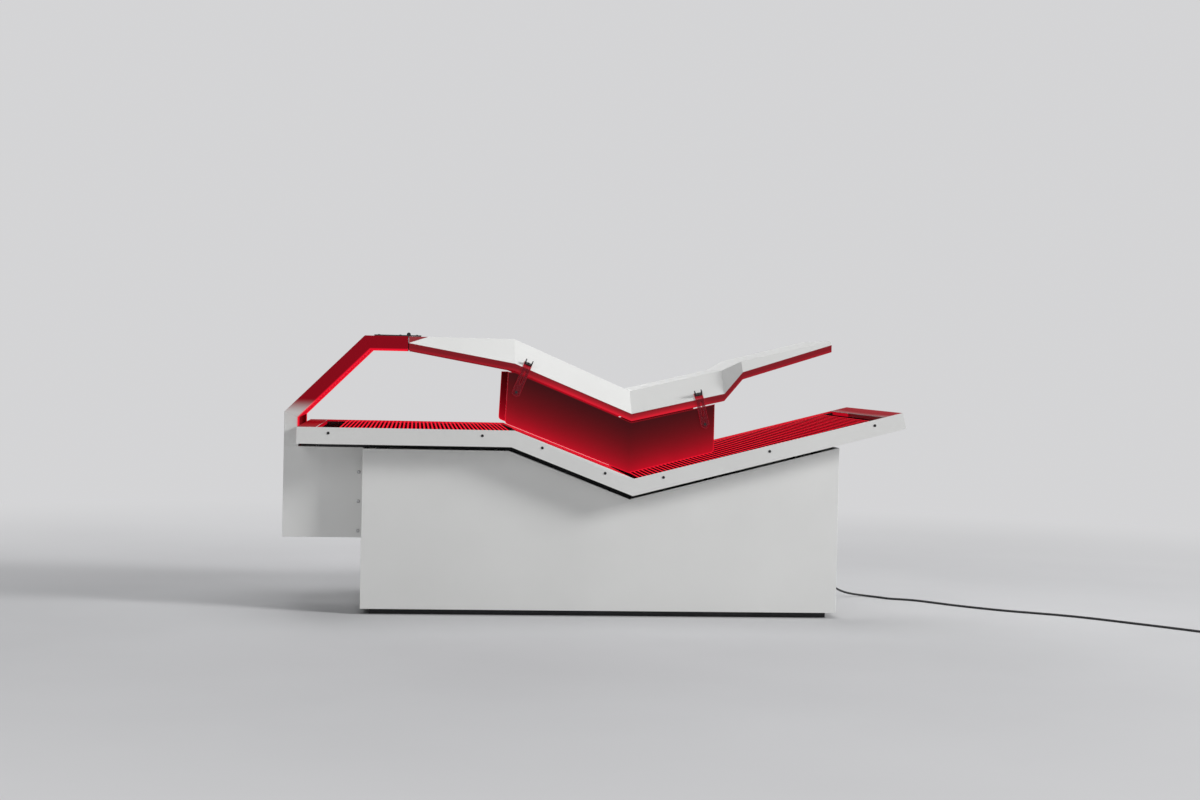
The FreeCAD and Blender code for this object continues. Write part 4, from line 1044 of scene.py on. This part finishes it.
CORD_RADIUS = 4 * MM
CORD_LIE = 4.2 * MM
EXIT_RUN = 44 * MM
gland_low, gland_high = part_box("cord_gland")
EXIT = Vector((gland_high.x, (gland_low.y + gland_high.y) / 2, (gland_low.z + gland_high.z) / 2))
ROUTE = [
    EXIT,
    EXIT + Vector((EXIT_RUN, 0, 0)),
    Vector((1.004, 0.314, 0.044)),
    Vector((1.052, 0.318, 0.018)),
    Vector((1.102, 0.322, 0.008)),
    Vector((1.152, 0.306, CORD_LIE)),
    Vector((1.190, 0.264, CORD_LIE)),
    Vector((1.216, 0.222, CORD_LIE)),
    Vector((1.262, 0.206, CORD_LIE)),
    Vector((1.312, 0.176, CORD_LIE)),
    Vector((1.360, 0.116, CORD_LIE)),
    Vector((1.414, 0.044, CORD_LIE)),
    Vector((1.484, -0.030, CORD_LIE)),
    Vector((1.568, -0.110, CORD_LIE)),
    Vector((1.664, -0.172, CORD_LIE)),
    Vector((1.760, -0.236, CORD_LIE)),
    Vector((1.846, -0.318, CORD_LIE)),
    Vector((1.920, -0.408, CORD_LIE)),
    Vector((1.994, -0.494, CORD_LIE)),
    Vector((2.066, -0.582, CORD_LIE)),
    Vector((2.134, -0.672, CORD_LIE)),
    Vector((2.200, -0.760, CORD_LIE)),
]

# Coil at the lead's end
COIL_RADIUS = 52 * MM
COIL_PITCH = 8.8 * MM
COIL_LAYER = 8.8 * MM
COIL_TURNS = 4.5
COIL_TURNBACK = 0.8
COIL_TAIL = 34 * MM
COIL_POINTS = 16

# Tie round the coil: how far it reaches in and out from the coil's radius, and its strip
TIE_INWARD = 26 * MM
TIE_OUTWARD = 5 * MM
TIE_SLACK = 1 * MM
TIE_WALL = 1.2 * MM
TIE_WIDTH = 9 * MM
TIE_FLOOR = 0.15 * MM

# Strain relief: radii of its flange and taper, and its plate
GLAND_FLANGE = 11 * MM
GLAND_ROOT = 8.5 * MM
GLAND_TIP = 5.5 * MM
GLAND_PLATE = 5 * MM
GLAND_CHAMFER = 1 * MM
GLAND_RINGS = 6
GLAND_SIDES = 32

# One moulded ring and the slot after it: how far in from the taper, and the share of the ring's pitch
RING_OUTLINE = ((0, 0.2), (0.2 * MM, 0.62), (1.4 * MM, 0.68), (1.4 * MM, 0.92))

heading = (ROUTE[-1] - ROUTE[-2]).normalized()
coil_side = Vector((-heading.y, heading.x, 0))
coil_entry = ROUTE[-1] + heading * (2 * CORD_RADIUS)
coil_centre = coil_entry + coil_side * COIL_RADIUS
first_angle = math.atan2(-coil_side.y, -coil_side.x)
coil_sweep = 2 * math.pi * COIL_TURNS
coil_back = coil_sweep / 2


def coil_point(angle):
    """A point of the coil: in along the floor, up a layer where it turns back, and out again on top."""
    from_back = math.hypot(angle - coil_back, COIL_TURNBACK) - math.hypot(coil_back, COIL_TURNBACK)
    radius = COIL_RADIUS + COIL_PITCH * from_back / (2 * math.pi)
    climb = min(max((angle - coil_back) / math.pi + 0.5, 0), 1)
    lift = COIL_LAYER * climb * climb * (3 - 2 * climb)
    turn = first_angle + angle
    return coil_centre + Vector((radius * math.cos(turn), radius * math.sin(turn), lift))


def cord_line():
    """The whole lead as one smooth line, out of the gland, over the floor and round the coil."""
    steps = round(COIL_TURNS * COIL_POINTS)
    coil = [coil_point(coil_sweep * i / steps) for i in range(steps + 1)]
    leave = first_angle + coil_sweep
    out = Vector((-math.sin(leave), math.cos(leave), 0))
    points = ROUTE + coil + [coil[-1] + out * (COIL_TAIL / 2), coil[-1] + out * COIL_TAIL]
    curve = bpy.data.curves.new("cord_line", "CURVE")
    curve.dimensions = "3D"
    curve.bevel_depth = CORD_RADIUS
    curve.bevel_resolution = 4
    curve.use_fill_caps = True
    spline = curve.splines.new("NURBS")
    spline.points.add(len(points) - 1)
    for target, point in zip(spline.points, points):
        target.co = (*point, 1)
    spline.order_u = 3
    spline.use_endpoint_u = True
    spline.resolution_u = 6
    curve.materials.append(RUBBER)
    return new_piece("mains_lead", curve)


def gland():
    """The tapered strain relief: a flange, then moulded rings with slots between them."""
    length = gland_high.x - gland_low.x
    outline = [
        (GLAND_FLANGE, 0), (GLAND_FLANGE, GLAND_PLATE - GLAND_CHAMFER),
        (GLAND_FLANGE - GLAND_CHAMFER, GLAND_PLATE), (GLAND_ROOT, GLAND_PLATE),
    ]
    pitch = (length - GLAND_PLATE) / GLAND_RINGS
    for i in range(GLAND_RINGS):
        start = GLAND_PLATE + i * pitch
        wide = GLAND_ROOT + (GLAND_TIP - GLAND_ROOT) * i / GLAND_RINGS
        outline += [(wide - inset, start + share * pitch) for inset, share in RING_OUTLINE]
    outline.append((GLAND_TIP - GLAND_CHAMFER, length))
    mesh = turned(outline, GLAND_SIDES)
    turn = Matrix.Translation((gland_low.x, EXIT.y, EXIT.z)) @ Matrix.Rotation(math.pi / 2, 4, "Y")
    bmesh.ops.transform(mesh, matrix=turn, verts=mesh.verts)
    piece = from_bmesh("strain_relief", mesh)
    smooth(piece, ROUND_SMOOTHING)
    return stand_for(piece, "cord_gland", RUBBER)


def cord_tie():
    """A flat tie round the coil's turns, half a turn before the lead turns back."""
    turn = first_angle + coil_back - math.pi
    inner = COIL_RADIUS - TIE_INWARD
    outer = COIL_RADIUS + TIE_OUTWARD
    top = CORD_LIE + COIL_LAYER + CORD_RADIUS + TIE_SLACK
    hole = [(inner, TIE_FLOOR), (outer, TIE_FLOOR), (outer, top), (inner, top)]
    around = [
        (inner - TIE_WALL, 0), (outer + TIE_WALL, 0), (outer + TIE_WALL, top + TIE_WALL),
        (inner - TIE_WALL, top + TIE_WALL),
    ]
    mesh = bmesh.new()
    rings = []
    for corners in (around, hole):
        for y in (-TIE_WIDTH / 2, TIE_WIDTH / 2):
            rings.append([mesh.verts.new((radius, y, z)) for radius, z in corners])
    for first, second in ((0, 1), (1, 3), (3, 2), (2, 0)):
        for i in range(4):
            j = (i + 1) % 4
            mesh.faces.new((rings[first][i], rings[first][j], rings[second][j], rings[second][i]))
    bmesh.ops.recalc_face_normals(mesh, faces=mesh.faces)
    place = Matrix.Translation((coil_centre.x, coil_centre.y, 0)) @ Matrix.Rotation(turn, 4, "Z")
    bmesh.ops.transform(mesh, matrix=place, verts=mesh.verts)
    piece = from_bmesh("cord_tie", mesh)
    paint(piece, MOULDED)
    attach(piece, "base")
    return piece


lead = cord_line()
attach(lead, "base")
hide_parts("cord", "cord_coil")
relief = gland()
tie = cord_tie()
plug = eased("plug", "plug_moulding", FINE_EDGE, MOULDED)


# Stage

FLOOR_RADIUS = 40
FLOOR_SIDES = 96
FLOOR_FADE_START = 1.6
FLOOR_FADE_FULL = 5.5
AMBIENT_STRENGTH = 0.22
LAMP_TARGET = Vector((0, 0, 0.5))

# The photograph's viewpoint: level with the canopy, a little towards the foot end
EYE = Vector((-0.638, -7.024, 0.885))
YAW = math.radians(5.561)
PITCH = math.radians(1.013)
ROLL = math.radians(1.23)
FOCAL_PIXELS = 1900
FRAME_PIXELS = 1200
SENSOR_WIDTH = 36


def seen_rays(tree):
    """1 for rays that show the background: from the camera, off gloss and through clear sheets."""
    path = add(tree, "ShaderNodeLightPath").outputs
    seen = math_node(tree, "MAXIMUM", path["Is Camera Ray"], path["Is Glossy Ray"])
    return math_node(tree, "MAXIMUM", seen, path["Is Transmission Ray"])


def studio_floor():
    """A pale floor that fades into the background a few metres out."""
    mesh = bmesh.new()
    bmesh.ops.create_circle(mesh, cap_ends=True, radius=FLOOR_RADIUS, segments=FLOOR_SIDES)
    floor = from_bmesh("studio_floor", mesh)
    material, tree, shader, place = finish("pale_floor")
    connect(tree, shader, {
        "Base Color": blend(tree, wander(tree, place, 0.8, 4.0), FLOOR_SHADE, FLOOR),
        "Roughness": 0.7, "Specular IOR Level": 0.0,
    })
    distance = add(tree, "ShaderNodeVectorMath", {0: place}, operation="LENGTH").outputs["Value"]
    away = between(tree, distance, FLOOR_FADE_START, FLOOR_FADE_FULL, smooth_step=True)
    share = math_node(tree, "MULTIPLY", away, seen_rays(tree))
    far = add(tree, "ShaderNodeEmission", {"Color": (*BACKGROUND, 1), "Strength": 1.0}).outputs[0]
    mix = add(tree, "ShaderNodeMixShader", {0: share, 1: shader.outputs[0], 2: far}).outputs[0]
    connect(tree, tree.nodes["Material Output"], {"Surface": mix})
    paint(floor, material)


def studio_world():
    """Even ambient light, with a plain pale background."""
    world = bpy.data.worlds.new("studio")
    world.use_nodes = True
    tree = world.node_tree
    soft = {"Color": (*AMBIENT, 1), "Strength": AMBIENT_STRENGTH}
    ambient = add(tree, "ShaderNodeBackground", soft).outputs[0]
    plain = add(tree, "ShaderNodeBackground", {"Color": (*BACKGROUND, 1), "Strength": 1.0}).outputs[0]
    mix = add(tree, "ShaderNodeMixShader", {0: seen_rays(tree), 1: ambient, 2: plain}).outputs[0]
    connect(tree, tree.nodes["World Output"], {"Surface": mix})
    bpy.context.scene.world = world


def soft_light(name, place, size, power):
    """A large rectangular lamp that looks at the middle of the bed."""
    lamp = bpy.data.lights.new(name, "AREA")
    lamp.shape = "RECTANGLE"
    lamp.size, lamp.size_y = size
    lamp.energy = power
    holder = new_piece(name, lamp)
    holder.location = place
    holder.rotation_euler = (LAMP_TARGET - Vector(place)).to_track_quat("-Z", "Y").to_euler()


def camera():
    """The camera at the photograph's viewpoint."""
    forward = Vector((math.sin(YAW) * math.cos(PITCH), math.cos(YAW) * math.cos(PITCH), -math.sin(PITCH)))
    right = Vector((math.cos(YAW), -math.sin(YAW), 0))
    up = right.cross(forward)
    level = Matrix((right, up, -forward)).transposed().to_4x4()
    lens = bpy.data.cameras.new("camera")
    lens.sensor_fit = "HORIZONTAL"
    lens.sensor_width = SENSOR_WIDTH
    lens.lens = SENSOR_WIDTH * FOCAL_PIXELS / FRAME_PIXELS
    holder = new_piece("camera", lens)
    holder.matrix_world = Matrix.Translation(EYE) @ level @ Matrix.Rotation(ROLL, 4, "Z")
    bpy.context.scene.camera = holder


studio_floor()
studio_world()
soft_light("key", place=(9.7, -4.85, 5.5), size=(2.8, 2.8), power=1000)
soft_light("fill", place=(-3.0, -5.5, 3.6), size=(3.5, 2.5), power=50)
soft_light("top", place=(0, 0.8, 5.0), size=(5.0, 2.5), power=60)
soft_light("back", place=(-1.5, 5.0, 3.6), size=(3.5, 2.0), power=90)
camera()
bpy.context.scene.view_settings.view_transform = "Standard"
